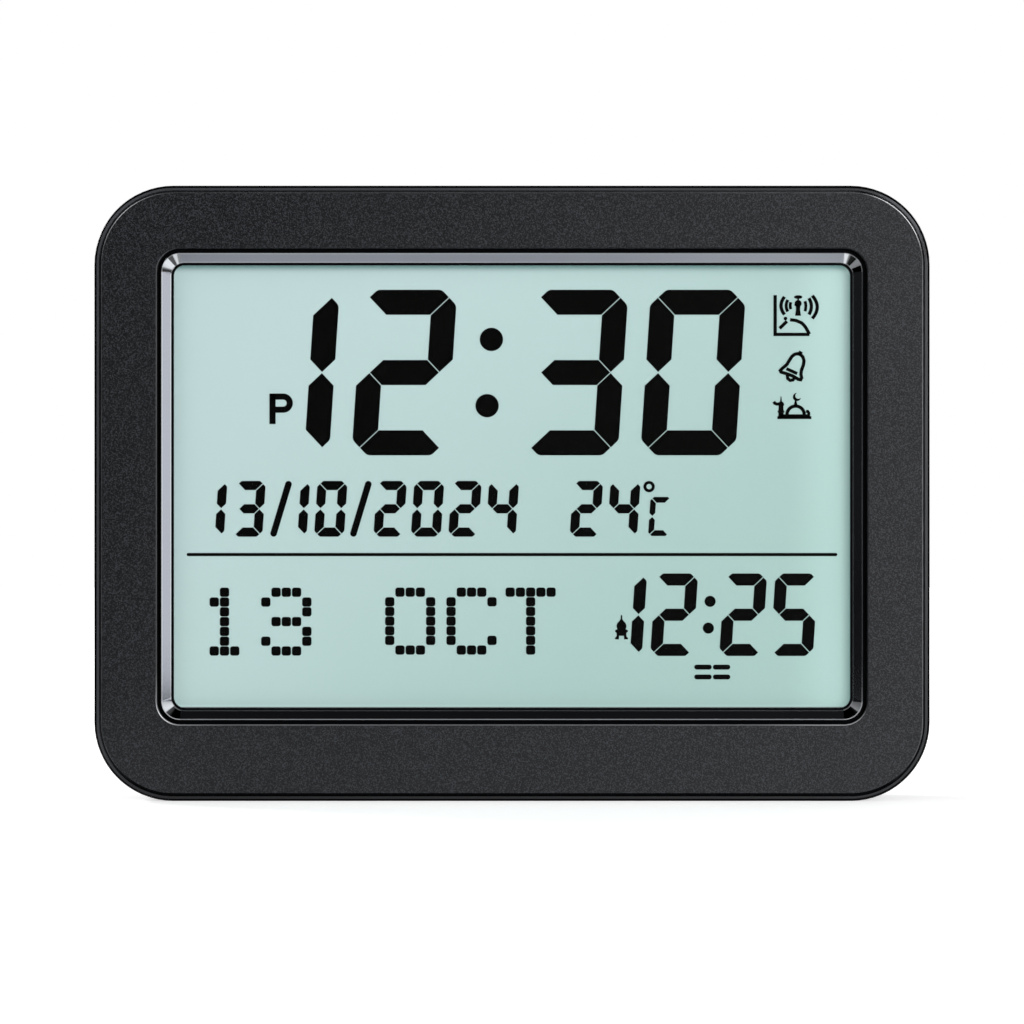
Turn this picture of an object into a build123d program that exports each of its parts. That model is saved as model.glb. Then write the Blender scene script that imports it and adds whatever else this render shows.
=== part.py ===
from build123d import *

import math
import os

# Prayer-time clock: a black case in two halves round a large segment display, with a
# battery bay, a folding stand, a speaker and a column of keys at the back.
#
# Millimetres. The origin is the middle of the case's base. +X is to the right as the
# clock is read, +Y goes from the face to the back and +Z is up.

# ---- Case ----------------------------------------------------------------------------
CASE_WIDTH = 300.0
CASE_HEIGHT = 221.0
CASE_CORNER_RADIUS = 28.4
CASE_WALL = 2.5
FRONT_HALF_DEPTH = 16.0
FRONT_EDGE_RADIUS = 1.2
BACK_EDGE_RADIUS = 5.0
PARTING_CHAMFER = 0.4
TONGUE_THICKNESS = 1.2
TONGUE_LENGTH = 2.0
TONGUE_CLEARANCE = 0.15

# ---- Face of the front frame -----------------------------------------------------------
BEZEL_SIDE = 22.55
BEZEL_TOP = 22.65
BEZEL_BOTTOM = 27.55
WINDOW_RADIUS = 8.3
FACE_WALL = 2.6
FACE_EDGE_RADIUS = 0.3
RIM_WIDTH = 1.9
RIM_SETBACK = 0.5
GROOVE_WIDTH = 0.6
GROOVE_DEPTH = 0.5
LIP_RADIUS = 0.5

# ---- Window trim, lens and the rib that locates them -------------------------------------
TRIM_GAP = 1.3
TRIM_SETBACK = 0.5
TRIM_TOP_LAND = 0.2
TRIM_BEVEL = 3.5
TRIM_INNER_LAND = 0.9
TRIM_FLANGE_REACH = 3.5
TRIM_FLANGE_RADIUS = 4.0
TRIM_FLANGE_THICKNESS = 1.2
TRIM_INNER_RADIUS = 3.8
LENS_THICKNESS = 1.5
LENS_TO_POLARISER = 0.2
LOCATING_RIB = 1.5
LOCATING_RIB_LENGTH = 5.4
LOCATING_CLEARANCE = 0.2

# ---- Display stack ---------------------------------------------------------------------
POLARISER_THICKNESS = 0.2
POLARISER_MARGIN = 2.0
GLASS_THICKNESS = 1.1
GLASS_CLEARANCE = 0.45
CONTACT_LEDGE = 5.0
CELL_GAP = 0.2
SEAL_WIDTH = 1.5
REFLECTOR_THICKNESS = 0.3
GUIDE_THICKNESS = 3.0
GUIDE_CLEARANCE = 0.3
LED_COUNT = 8
LED_LENGTH = 3.2
LED_DEPTH = 1.4
LED_HEIGHT = 2.6
LED_STRIP_THICKNESS = 1.0
LED_STRIP_CLEARANCE = 0.4

# ---- Display holder ----------------------------------------------------------------------
HOLDER_WALL = 2.5
HOLDER_FLOOR = 1.5
GUIDE_CORNER_CUT = 4.0
EAR_X = 70.0
EAR_WIDTH = 11.0
EAR_REACH = 8.0
EAR_SCREW_REACH = 4.4
EAR_THICKNESS = 2.0
EAR_BOSS_DIAMETER = 6.4
ZEBRA_LENGTH = 200.0
ZEBRA_WIDTH = 3.0
ZEBRA_SLOT_CLEARANCE = 0.3
ZEBRA_TO_STANDOFF = 1.5

# ---- Main board and what is soldered to it ---------------------------------------------------
BOARD_WIDTH = 236.0
BOARD_THICKNESS = 1.6
BOARD_STANDOFF = 1.0
BOARD_STANDOFF_DIAMETER = 5.0
BOARD_BOTTOM_INSET = 1.0
BOARD_TO_BAY = 15.0
BOARD_RADIUS = 2.0
BOARD_SCREW_INSET = 8.0
BOARD_SCREW_EDGE = 5.0
CHIP_SIDE = 14.0
CHIP_HEIGHT = 1.6
CHIP_PINS_PER_SIDE = 7
CHIP_PIN_WIDTH = 0.5
CHIP_PIN_REACH = 1.6
CHIP_X = -30.0
CRYSTAL_LENGTH = 11.0
CRYSTAL_WIDTH = 4.6
CRYSTAL_HEIGHT = 3.5
CRYSTAL_FLANGE = 0.5
CRYSTAL_X = 2.0
CAPACITOR_DIAMETER = 6.3
CAPACITOR_HEIGHT = 7.0
CAPACITOR_PITCH = 11.0
CAPACITOR_X = 34.0
CAPACITOR_COUNT = 3
CAPACITOR_WAIST = 5.7
CAPACITOR_CRIMP_RISE = 1.6
CAPACITOR_CRIMP_HALF = 0.4
BEAD_DIAMETER = 2.8
BEAD_STANDOFF = 5.0
BEAD_LEAD = 0.6
BEAD_X = -96.0
BEAD_RISE = 6.0

# ---- Screws ----------------------------------------------------------------------------------
SCREW_HOLE_CLEARANCE = 0.15
SCREW_THREAD_CLEARANCE = 0.05
SMALL_SHANK = 2.0
SMALL_HEAD = 4.2
SMALL_HEAD_HEIGHT = 1.4
CASE_SHANK = 2.9
CASE_HEAD = 5.6
CASE_HEAD_HEIGHT = 2.2
CASE_SCREW_LENGTH = 14.0
CASE_BOSS_DIAMETER = 8.0
CASE_SCREW_SIDE_INSET = 22.0
CASE_SCREW_END_INSET = 13.0
CASE_SCREW_MIDDLE_INSET = 11.0
WELL_DEPTH = 12.0
WELL_DIAMETER = 7.0
WELL_WALL = 1.25
WELL_FLOOR = 1.5
BOSS_GAP = 0.1

# ---- Batteries and their bay -----------------------------------------------------------------------
BATTERY_DIAMETER = 14.5
BATTERY_LENGTH = 50.5
BATTERY_NUB_DIAMETER = 5.5
BATTERY_NUB_LENGTH = 1.0
BATTERY_COUNT = 3
BATTERY_GAP = 0.5
BATTERY_CLEARANCE = 0.3
BATTERY_END_CLEARANCE = 0.55
CONTACT_ROOM = 3.75
BAY_WALL = 2.0
BAY_FLOOR = 1.5
BAY_TO_HOLDER = 2.5
BAY_RADIUS = 1.0
CONTACT_THICKNESS = 0.4
CONTACT_WIDTH = 10.0
CONTACT_STRIP = 5.0
CONTACT_TOUCH_GAP = 0.1

# ---- Leads inside the case ---------------------------------------------------------------
LEAD_DIAMETER = 1.4
LEAD_BEND = 4.0
LEAD_STANDOFF = 5.0
LEAD_END_INSET = 6.0
TAB_WIDTH = 3.0
TAB_REACH = 2.5
TAB_Y_INSET = 4.1
TAB_CLEARANCE = 0.2
TAG_WIDTH = 8.0
TAG_THICKNESS = 1.0
TAG_REACH = 23.0
TAG_LEAD_SPACING = 4.0
RIBBON_THICKNESS = 0.3
RIBBON_WIDTH = 9.0
RIBBON_BEND = 1.2
RIBBON_TOP = 14.0
RIBBON_FOOT = 12.0

# ---- Battery door -------------------------------------------------------------------------------------
DOOR_THICKNESS = 2.0
DOOR_CLEARANCE = 0.3
DOOR_SEAT_GAP = 0.1
DOOR_RADIUS = 1.0
HOOK_X = 26.0
HOOK_WIDTH = 5.0
HOOK_LENGTH = 2.5
HOOK_THICKNESS = 1.6
HOOK_UNDER_WALL = 0.1
HOOK_POST = 2.0
HOOK_CLEARANCE = 0.35
LATCH_WIDTH = 14.0
LATCH_LENGTH = 9.0
LATCH_SLIT = 1.0
LATCH_RIDGE = 0.8
SCOOP_DEPTH = 1.2
SCOOP_WIDTH = 22.0
SCOOP_HEIGHT = 8.0

# ---- Wall hanging -----------------------------------------------------------------------------------------
KEYHOLE_SPACING = 120.0
KEYHOLE_RADIUS = 4.5
KEYHOLE_SLOT_WIDTH = 4.4
KEYHOLE_SLOT_RISE = 9.0
KEYHOLE_TOP_INSET = 35.0
POCKET_WIDTH = 13.0
POCKET_HEIGHT = 22.0
POCKET_DEPTH = 5.0
POCKET_WALL = 1.5

# ---- Folding stand --------------------------------------------------------------------------------------------
KEYHOLE_TO_BAY = 29.2
BAY_TO_HINGE = 7.2
LEG_WIDTH_TOP = 38.0
LEG_WIDTH_TIP = 30.0
LEG_TIP_HEIGHT = 6.0
LEG_SKIN = 1.8
LEG_RIB = 1.5
LEG_RIB_PITCH = 14.0
LEG_BARREL_RADIUS = 2.2
LEG_TIP_RADIUS = 2.2
LEG_EDGE_RADIUS = 0.4
LEG_CLEARANCE = 0.5
LEG_FLOOR_GAP = 0.3
LEG_HEEL_RISE = 3.2
LEG_HEEL_FRONT = 0.9
LEG_TOP_GAP = 0.8
RECESS_WALL = 1.5
TRUNNION_DIAMETER = 3.0
TRUNNION_LENGTH = 2.2
TRUNNION_CLEARANCE = 0.05
EAR_BLOCK_WALL = 3.2
EAR_BLOCK_SIZE = 6.0
PAD_HEIGHT = 10.0
PAD_WIDTH = 18.0
PAD_SINK = 0.9

# ---- Speaker ------------------------------------------------------------------------------------------------------
SPEAKER_SIDE_INSET = 62.0
SPEAKER_ABOVE_BOARD = 35.8
SPEAKER_DIAMETER = 50.0
SPEAKER_FLANGE = 1.2
SPEAKER_FLANGE_WIDTH = 3.0
SPEAKER_WALL = 1.0
SPEAKER_BACK_DIAMETER = 30.0
SPEAKER_BASKET_DEPTH = 7.0
MAGNET_DIAMETER = 32.0
MAGNET_HEIGHT = 6.0
POLE_DIAMETER = 8.0
CONE_THICKNESS = 0.4
CONE_INNER_DIAMETER = 14.0
CONE_DEPTH = 4.0
CONE_ROLL = 1.5
CONE_ROLL_SINK = 1.0
DUST_CAP_RISE = 2.0
SPEAKER_TAG_SHARE = 0.4
SPEAKER_SCREW_RADIUS = 27.5
SPEAKER_SCREW_COUNT = 3
SPEAKER_SCREW_HEAD = 6.4
SEAT_RING_CLEARANCE = 0.3
SEAT_RING_WALL = 1.5
GRILLE_DIAMETER = 46.0
GRILLE_SLOT = 2.0
GRILLE_PITCH = 4.6
GRILLE_DISH = 0.6
GRILLE_DISH_MARGIN = 2.0

# ---- Keys -------------------------------------------------------------------------------------------------------------
KEY_NAMES = ["mode", "set", "up", "down", "alarm", "light"]
KEY_SIDE_INSET = 38.0
KEY_PITCH = 18.0
KEY_COLUMN_RISE = 128.0
KEY_WIDTH = 15.0
KEY_HEIGHT = 8.4
KEY_CLEARANCE = 0.3
KEY_BELOW_BACK = 0.4
KEY_FLANGE = 1.2
KEY_FLANGE_THICKNESS = 1.45
KEY_FLANGE_GAP = 0.1
KEY_STEM = 4.0
KEY_TRAVEL = 0.5
STEM_CLEARANCE = 0.4
KEY_DISH_RADIUS = 16.0
KEY_DISH_DEPTH = 0.35
KEY_RECESS_DEPTH = 1.6
KEY_RECESS_MARGIN = 5.5
KEY_RECESS_RADIUS = 6.0
KEY_FLOOR_WALL = 2.0
SWITCH_SIDE = 6.0
SWITCH_HEIGHT = 3.5
PLUNGER_DIAMETER = 3.5
PLUNGER_LENGTH = 3.1
PLUNGER_BITE = 2.2
PLUNGER_CLEARANCE = 0.05
KEY_BOARD_THICKNESS = 1.6
KEY_BOARD_WIDTH = 20.0
KEY_BOSS_DIAMETER = 5.0
KEY_BOSS_BEYOND = 9.5
KEY_BOARD_EDGE = 3.5
KEY_BORE_DEPTH = 7.0
SCREW_TIP_GAP = 1.0

# ---- Vents beside the temperature sensor ---------------------------------------------------------------------------------
VENT_COUNT = 6
VENT_WIDTH = 1.6
VENT_LENGTH = 14.0
VENT_PITCH = 4.0

# ---- What the display shows: places are from the middle of the viewing area ------------------------------------------------
SLANT = 0.065
SEGMENT_GAP = 0.32
CORNER_CUT = 0.62
CORNER_SOFTNESS = 0.32
CLOCK_HEIGHT = 59.7
CLOCK_WIDTH = 34.3
CLOCK_STROKE = 9.0
CLOCK_PITCH = 42.4
CLOCK_RISE = 41.15
CLOCK_HOURS_X = -60.0
CLOCK_MINUTES_X = 44.15
CLOCK_DOT = 8.4
CLOCK_COLON_X = -8.2
CLOCK_COLON_SPREAD = 23.9
DATE_HEIGHT = 20.1
DATE_WIDTH = 10.8
DATE_STROKE = 3.3
DATE_PITCH = 13.5
DATE_RISE = -8.0
DAY_X = -101.75
DAY_PITCH = 13.85
MONTH_X = -72.1
YEAR_X = -23.7
TEMPERATURE_X = 33.6
SLASH_X = [-83.3, -54.5]
SLASH_WIDTH = 7.7
SLASH_STROKE = 2.35
DEGREE_X = 49.45
DEGREE_RISE = 0.0
DEGREE_OUTER = 4.1
DEGREE_INNER = 1.9
RULE_LENGTH = 234.7
RULE_THICKNESS = 1.15
RULE_RISE = -24.5
SECOND_HEIGHT = 29.75
SECOND_WIDTH = 15.4
SECOND_STROKE = 4.35
SECOND_PITCH = 18.4
SECOND_RISE = -46.2
SECOND_HOURS_X = 49.3
SECOND_MINUTES_X = 92.6
SECOND_DOT = 4.0
SECOND_COLON_X = 71.15
SECOND_COLON_SPREAD = 9.65
BAR_LENGTH = 6.25
BAR_THICKNESS = 1.75
BAR_X = [68.9, 75.6]
BAR_RISE = [-65.1, -68.65]
MATRIX_SQUARE = 3.35
MATRIX_SOFTNESS = 0.9
MATRIX_PITCH_X = 3.7
MATRIX_PITCH_Z = 3.53
MATRIX_LEFT = -111.1
MATRIX_TOP = -38.1
MATRIX_CHARACTER_PITCH = 22.3

SEGMENTS_OF_DIGIT = {
    "0": "abcdef",
    "1": "bc",
    "2": "abged",
    "3": "abgcd",
    "4": "fgbc",
    "5": "afgcd",
}
MATRIX_ROWS = {
    "1": ["..#..", ".##..", "..#..", "..#..", "..#..", "..#..", ".###."],
    "3": [".###.", "#...#", "....#", ".###.", "....#", "#...#", ".###."],
}

# ---- Depths, from the face back -----------------------------------------------------------------------------------------------
DISPLAY_STACK = (
    FACE_WALL + TRIM_FLANGE_THICKNESS + LENS_THICKNESS + LENS_TO_POLARISER + POLARISER_THICKNESS
    + 2 * GLASS_THICKNESS + CELL_GAP + REFLECTOR_THICKNESS + GUIDE_THICKNESS + HOLDER_FLOOR
)
BATTERY_STACK = BAY_FLOOR + BATTERY_DIAMETER + 2 * BATTERY_CLEARANCE + DOOR_THICKNESS
CASE_DEPTH = DISPLAY_STACK + BAY_TO_HOLDER + BATTERY_STACK
FACE_Y = -CASE_DEPTH / 2
BACK_Y = CASE_DEPTH / 2
RIM_Y = FACE_Y + RIM_SETBACK
GROOVE_Y = RIM_Y + GROOVE_DEPTH
FLANGE_Y = FACE_Y + FACE_WALL
LENS_Y = FLANGE_Y + TRIM_FLANGE_THICKNESS
LENS_BACK_Y = LENS_Y + LENS_THICKNESS
POLARISER_Y = LENS_BACK_Y + LENS_TO_POLARISER
FRONT_GLASS_Y = POLARISER_Y + POLARISER_THICKNESS
SEGMENT_Y = FRONT_GLASS_Y + GLASS_THICKNESS
REAR_GLASS_Y = SEGMENT_Y + CELL_GAP
REFLECTOR_Y = REAR_GLASS_Y + GLASS_THICKNESS
GUIDE_Y = REFLECTOR_Y + REFLECTOR_THICKNESS
HOLDER_FLOOR_Y = GUIDE_Y + GUIDE_THICKNESS
HOLDER_BACK_Y = HOLDER_FLOOR_Y + HOLDER_FLOOR
EAR_Y = HOLDER_BACK_Y - EAR_THICKNESS
BOARD_Y = HOLDER_BACK_Y + BOARD_STANDOFF
BOARD_BACK_Y = BOARD_Y + BOARD_THICKNESS
PARTING_Y = FACE_Y + FRONT_HALF_DEPTH

# ---- Depths, from the back forward ---------------------------------------------------------------------------------------------
BACK_INNER_Y = BACK_Y - CASE_WALL
SCREW_SEAT_Y = BACK_Y - WELL_DEPTH
WELL_FRONT_Y = SCREW_SEAT_Y - WELL_FLOOR
CASE_BOSS_TOP_Y = WELL_FRONT_Y - BOSS_GAP
DOOR_INNER_Y = BACK_Y - DOOR_THICKNESS
DOOR_SEAT_Y = DOOR_INNER_Y - DOOR_SEAT_GAP
BATTERY_Y = DOOR_INNER_Y - BATTERY_CLEARANCE - BATTERY_DIAMETER / 2
BAY_FLOOR_Y = BATTERY_Y - BATTERY_DIAMETER / 2 - BATTERY_CLEARANCE
BAY_FRONT_Y = BAY_FLOOR_Y - BAY_FLOOR
HINGE_Y = BACK_Y - LEG_BARREL_RADIUS
RECESS_FLOOR_Y = HINGE_Y - LEG_BARREL_RADIUS - LEG_FLOOR_GAP
RECESS_FRONT_Y = RECESS_FLOOR_Y - RECESS_WALL
KEY_RECESS_Y = BACK_Y - KEY_RECESS_DEPTH
KEY_FLOOR_INNER_Y = KEY_RECESS_Y - KEY_FLOOR_WALL
KEY_TOP_Y = BACK_Y - KEY_BELOW_BACK
KEY_FLANGE_BACK_Y = KEY_FLOOR_INNER_Y - KEY_FLANGE_GAP
KEY_FLANGE_FRONT_Y = KEY_FLANGE_BACK_Y - KEY_FLANGE_THICKNESS
SPEAKER_FLANGE_Y = BACK_INNER_Y - SPEAKER_FLANGE
SPEAKER_BASKET_Y = SPEAKER_FLANGE_Y - SPEAKER_BASKET_DEPTH
TAB_Y = BAY_FLOOR_Y + TAB_Y_INSET
TAG_Y = SPEAKER_BASKET_Y + SPEAKER_BASKET_DEPTH * SPEAKER_TAG_SHARE

# ---- Places across the face -----------------------------------------------------------------------------------------------------
CASE_CENTRE_Z = CASE_HEIGHT / 2
WINDOW_WIDTH = CASE_WIDTH - 2 * BEZEL_SIDE
WINDOW_HEIGHT = CASE_HEIGHT - BEZEL_TOP - BEZEL_BOTTOM
WINDOW_Z = BEZEL_BOTTOM + WINDOW_HEIGHT / 2
TRIM_BAND = TRIM_GAP + TRIM_TOP_LAND + TRIM_BEVEL + TRIM_INNER_LAND
VIEW_WIDTH = WINDOW_WIDTH - 2 * TRIM_BAND
VIEW_HEIGHT = WINDOW_HEIGHT - 2 * TRIM_BAND
FLANGE_WIDTH = WINDOW_WIDTH + 2 * TRIM_FLANGE_REACH
FLANGE_HEIGHT = WINDOW_HEIGHT + 2 * TRIM_FLANGE_REACH
HOLDER_INNER_WIDTH = FLANGE_WIDTH - 2 * HOLDER_WALL
HOLDER_INNER_HEIGHT = FLANGE_HEIGHT - 2 * HOLDER_WALL
GLASS_WIDTH = HOLDER_INNER_WIDTH - 2 * GLASS_CLEARANCE
GLASS_HEIGHT = HOLDER_INNER_HEIGHT - 2 * GLASS_CLEARANCE
GLASS_BOTTOM = WINDOW_Z - GLASS_HEIGHT / 2
GLASS_TOP = WINDOW_Z + GLASS_HEIGHT / 2
REAR_GLASS_HEIGHT = GLASS_HEIGHT - CONTACT_LEDGE
REAR_GLASS_Z = GLASS_TOP - REAR_GLASS_HEIGHT / 2
ZEBRA_Z = GLASS_BOTTOM + CONTACT_LEDGE / 2
HOLDER_BOTTOM = WINDOW_Z - FLANGE_HEIGHT / 2
HOLDER_TOP = WINDOW_Z + FLANGE_HEIGHT / 2
EAR_PLACES = [
    (EAR_X, HOLDER_TOP, 1),
    (-EAR_X, HOLDER_TOP, 1),
    (EAR_X, HOLDER_BOTTOM, -1),
    (-EAR_X, HOLDER_BOTTOM, -1),
]

# ---- Places across the back -------------------------------------------------------------------------------------------------------
SIDE_SCREW_X = CASE_WIDTH / 2 - CASE_SCREW_SIDE_INSET
MIDDLE_SCREW_X = CASE_WIDTH / 2 - CASE_SCREW_MIDDLE_INSET
CASE_SCREW_PLACES = [
    (SIDE_SCREW_X, CASE_HEIGHT - CASE_SCREW_END_INSET),
    (-SIDE_SCREW_X, CASE_HEIGHT - CASE_SCREW_END_INSET),
    (SIDE_SCREW_X, CASE_SCREW_END_INSET),
    (-SIDE_SCREW_X, CASE_SCREW_END_INSET),
    (MIDDLE_SCREW_X, CASE_CENTRE_Z),
    (-MIDDLE_SCREW_X, CASE_CENTRE_Z),
]
KEYHOLE_Z = CASE_HEIGHT - KEYHOLE_TOP_INSET
BATTERY_PITCH = BATTERY_DIAMETER + BATTERY_GAP
BAY_INNER_WIDTH = BATTERY_LENGTH + 2 * CONTACT_ROOM
BAY_INNER_HEIGHT = BATTERY_COUNT * BATTERY_PITCH - BATTERY_GAP + 2 * BATTERY_END_CLEARANCE
BAY_WIDTH = BAY_INNER_WIDTH + 2 * BAY_WALL
BAY_HEIGHT = BAY_INNER_HEIGHT + 2 * BAY_WALL
BAY_TOP = KEYHOLE_Z - KEYHOLE_TO_BAY
BAY_BOTTOM = BAY_TOP - BAY_HEIGHT
BAY_Z = (BAY_TOP + BAY_BOTTOM) / 2
TERMINALS = [(-1, 0), (1, BATTERY_COUNT - 1)]
BATTERY_ROWS = [
    BAY_Z + (row - (BATTERY_COUNT - 1) / 2) * BATTERY_PITCH for row in range(BATTERY_COUNT)
]
HINGE_Z = BAY_BOTTOM - BAY_TO_HINGE
LEG_TOP = HINGE_Z + LEG_HEEL_RISE
RECESS_TOP = LEG_TOP + LEG_TOP_GAP
BOARD_BOTTOM = HOLDER_BOTTOM + BOARD_BOTTOM_INSET
BOARD_TOP = BAY_BOTTOM - BOARD_TO_BAY
BOARD_HEIGHT = BOARD_TOP - BOARD_BOTTOM
BOARD_Z = (BOARD_TOP + BOARD_BOTTOM) / 2
BOARD_SCREW_X = BOARD_WIDTH / 2 - BOARD_SCREW_INSET
BOARD_SCREW_LOW = ZEBRA_Z + ZEBRA_WIDTH / 2 + ZEBRA_TO_STANDOFF + BOARD_STANDOFF_DIAMETER / 2
BOARD_SCREW_HIGH = BOARD_TOP - BOARD_SCREW_EDGE
BOARD_SCREW_PLACES = [
    (BOARD_SCREW_X, BOARD_SCREW_LOW),
    (-BOARD_SCREW_X, BOARD_SCREW_LOW),
    (BOARD_SCREW_X, BOARD_SCREW_HIGH),
    (-BOARD_SCREW_X, BOARD_SCREW_HIGH),
    (0, BOARD_SCREW_HIGH),
]
LEAD_END_Z = BOARD_TOP - LEAD_END_INSET
TAB_END_X = BAY_WIDTH / 2 + TAB_REACH
SPEAKER_X = -(CASE_WIDTH / 2 - SPEAKER_SIDE_INSET)
SPEAKER_Z = BOARD_TOP + SPEAKER_ABOVE_BOARD
SPEAKER_SCREW_PLACES = [
    (
        SPEAKER_X + SPEAKER_SCREW_RADIUS * math.cos(math.radians(90 + 360 * turn / SPEAKER_SCREW_COUNT)),
        SPEAKER_Z + SPEAKER_SCREW_RADIUS * math.sin(math.radians(90 + 360 * turn / SPEAKER_SCREW_COUNT)),
    )
    for turn in range(SPEAKER_SCREW_COUNT)
]
KEY_X = CASE_WIDTH / 2 - KEY_SIDE_INSET
KEY_ROWS = [
    KEY_COLUMN_RISE + (row - (len(KEY_NAMES) - 1) / 2) * KEY_PITCH for row in range(len(KEY_NAMES))
]
KEY_BOSS_ROWS = [KEY_ROWS[0] - KEY_BOSS_BEYOND, KEY_ROWS[-1] + KEY_BOSS_BEYOND]
KEY_RECESS_WIDTH = KEY_WIDTH + 2 * KEY_RECESS_MARGIN
KEY_RECESS_HEIGHT = KEY_ROWS[-1] - KEY_ROWS[0] + KEY_HEIGHT + 4 * KEY_RECESS_MARGIN
KEY_BOARD_HEIGHT = KEY_BOSS_ROWS[1] - KEY_BOSS_ROWS[0] + 2 * KEY_BOARD_EDGE
PLUNGER_BACK_Y = KEY_FLANGE_FRONT_Y - PLUNGER_BITE
SWITCH_BACK_Y = PLUNGER_BACK_Y - KEY_TRAVEL - STEM_CLEARANCE
KEY_BOARD_BACK_Y = SWITCH_BACK_Y - SWITCH_HEIGHT


# ---- Helpers -----------------------------------------------------------------------------------------------------------------------
def at_depth(y):
    """Plane square to the line of sight: its x runs along +X and its y along +Z."""
    return Plane.XZ.offset(-y)


def slab(sketch, front, back):
    """Solid between two depths with a sketch as its outline."""
    return extrude(at_depth(back) * sketch, back - front, dir=(0, -1, 0))


def disc(x, z, diameter, front, back):
    """Round bar along Y."""
    return slab(Pos(x, z) * Circle(diameter / 2), front, back)


def discs(places, diameter, front, back):
    """One round bar along Y at each place."""
    return [disc(x, z, diameter, front, back) for x, z in places]


def plate(width, height, z, radius, front, back, x=0):
    """Rounded rectangular plate."""
    return slab(Pos(x, z) * RectangleRounded(width, height, radius), front, back)


def turned(profile_points, x, z):
    """Solid of revolution about a line along Y, from (radius, depth) points."""
    profile = Polygon(*profile_points, align=None)
    return Pos(x, 0, z) * revolve(profile, Axis.Y)


def screw(x, z, seat, length, shank, head, head_height):
    """Screw driven forwards from the back, its head on a seat at a given depth."""
    return turned(
        [
            (0, seat - length),
            (shank / 2, seat - length),
            (shank / 2, seat),
            (head / 2, seat),
            (head / 2, seat + head_height / 2),
            (head / 3, seat + head_height),
            (0, seat + head_height),
        ],
        x,
        z,
    )


def group(solids):
    """Separate solids kept together as one node."""
    return Compound(children=list(solids))


def spread(count, pitch):
    """Offsets of evenly spaced things about a middle."""
    return [(index - (count - 1) / 2) * pitch for index in range(count)]


# ---- Front half of the case ------------------------------------------------------------------------------------------------------------
def case_outline(inset=0.0):
    return Pos(0, CASE_CENTRE_Z) * RectangleRounded(
        CASE_WIDTH - 2 * inset, CASE_HEIGHT - 2 * inset, CASE_CORNER_RADIUS - inset
    )


def window_outline(inset=0.0, radius=WINDOW_RADIUS):
    return Pos(0, WINDOW_Z) * RectangleRounded(
        WINDOW_WIDTH - 2 * inset, WINDOW_HEIGHT - 2 * inset, radius
    )


def edges_at_depth(solid, y):
    """Edges that lie wholly in one plane square to Y."""
    return solid.edges().filter_by_position(Axis.Y, y - 0.001, y + 0.001)


def front_frame():
    """Bezel with its raised face, rim bead, groove, side walls, screw bosses and locating rib."""
    frame = slab(case_outline(), RIM_Y, PARTING_Y)
    frame = fillet(edges_at_depth(frame, RIM_Y), FRONT_EDGE_RADIUS)
    frame = chamfer(edges_at_depth(frame, PARTING_Y), PARTING_CHAMFER)
    frame -= slab(case_outline(RIM_WIDTH), RIM_Y, GROOVE_Y)
    panel = slab(case_outline(RIM_WIDTH + GROOVE_WIDTH), FACE_Y, GROOVE_Y)
    frame += fillet(edges_at_depth(panel, FACE_Y), FACE_EDGE_RADIUS)
    frame -= slab(case_outline(CASE_WALL), FLANGE_Y, PARTING_Y)
    frame -= slab(window_outline(), FACE_Y, FLANGE_Y)
    lip = [
        edge
        for edge in edges_at_depth(frame, FACE_Y)
        if abs(edge.center().X) <= WINDOW_WIDTH / 2 + 0.001
        and abs(edge.center().Z - WINDOW_Z) <= WINDOW_HEIGHT / 2 + 0.001
    ]
    frame = fillet(lip, LIP_RADIUS)
    rib_inset = -TRIM_FLANGE_REACH - LOCATING_CLEARANCE
    rib = window_outline(rib_inset - LOCATING_RIB, TRIM_FLANGE_RADIUS + LOCATING_RIB)
    rib -= window_outline(rib_inset, TRIM_FLANGE_RADIUS)
    frame += slab(rib, FLANGE_Y, FLANGE_Y + LOCATING_RIB_LENGTH)
    for x, z in CASE_SCREW_PLACES:
        frame += disc(x, z, CASE_BOSS_DIAMETER, FLANGE_Y, CASE_BOSS_TOP_Y)
    for x, z, side in EAR_PLACES:
        frame += disc(x, z + side * EAR_SCREW_REACH, EAR_BOSS_DIAMETER, FLANGE_Y, EAR_Y)
    case_bore = CASE_SHANK + 2 * SCREW_THREAD_CLEARANCE
    bore_end = SCREW_SEAT_Y - CASE_SCREW_LENGTH - BOSS_GAP
    for hole in discs(CASE_SCREW_PLACES, case_bore, bore_end, CASE_BOSS_TOP_Y):
        frame -= hole
    small_bore = SMALL_SHANK + 2 * SCREW_THREAD_CLEARANCE
    for x, z, side in EAR_PLACES:
        frame -= disc(x, z + side * EAR_SCREW_REACH, small_bore, FLANGE_Y + LOCATING_RIB, EAR_Y)
    return frame


def window_trim():
    """Gloss ring with an inward bevel, held by a flange behind the bezel."""
    top = TRIM_GAP
    bevel_start = top + TRIM_TOP_LAND
    bevel_end = bevel_start + TRIM_BEVEL
    top_y = FACE_Y + TRIM_SETBACK
    ring = slab(window_outline(top, WINDOW_RADIUS - top), top_y, FLANGE_Y)
    ring += slab(window_outline(-TRIM_FLANGE_REACH, TRIM_FLANGE_RADIUS), FLANGE_Y, LENS_Y)
    mouth = at_depth(top_y) * window_outline(bevel_start, WINDOW_RADIUS - bevel_start)
    throat = at_depth(FLANGE_Y) * window_outline(bevel_end, TRIM_INNER_RADIUS + TRIM_INNER_LAND)
    ring -= loft([mouth.face(), throat.face()])
    ring -= slab(window_outline(TRIM_BAND, TRIM_INNER_RADIUS), FLANGE_Y, LENS_Y)
    return ring


def window_lens():
    """Clear window clamped between the trim's flange and the display holder."""
    return plate(FLANGE_WIDTH, FLANGE_HEIGHT, WINDOW_Z, TRIM_FLANGE_RADIUS, LENS_Y, LENS_BACK_Y)


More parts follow.
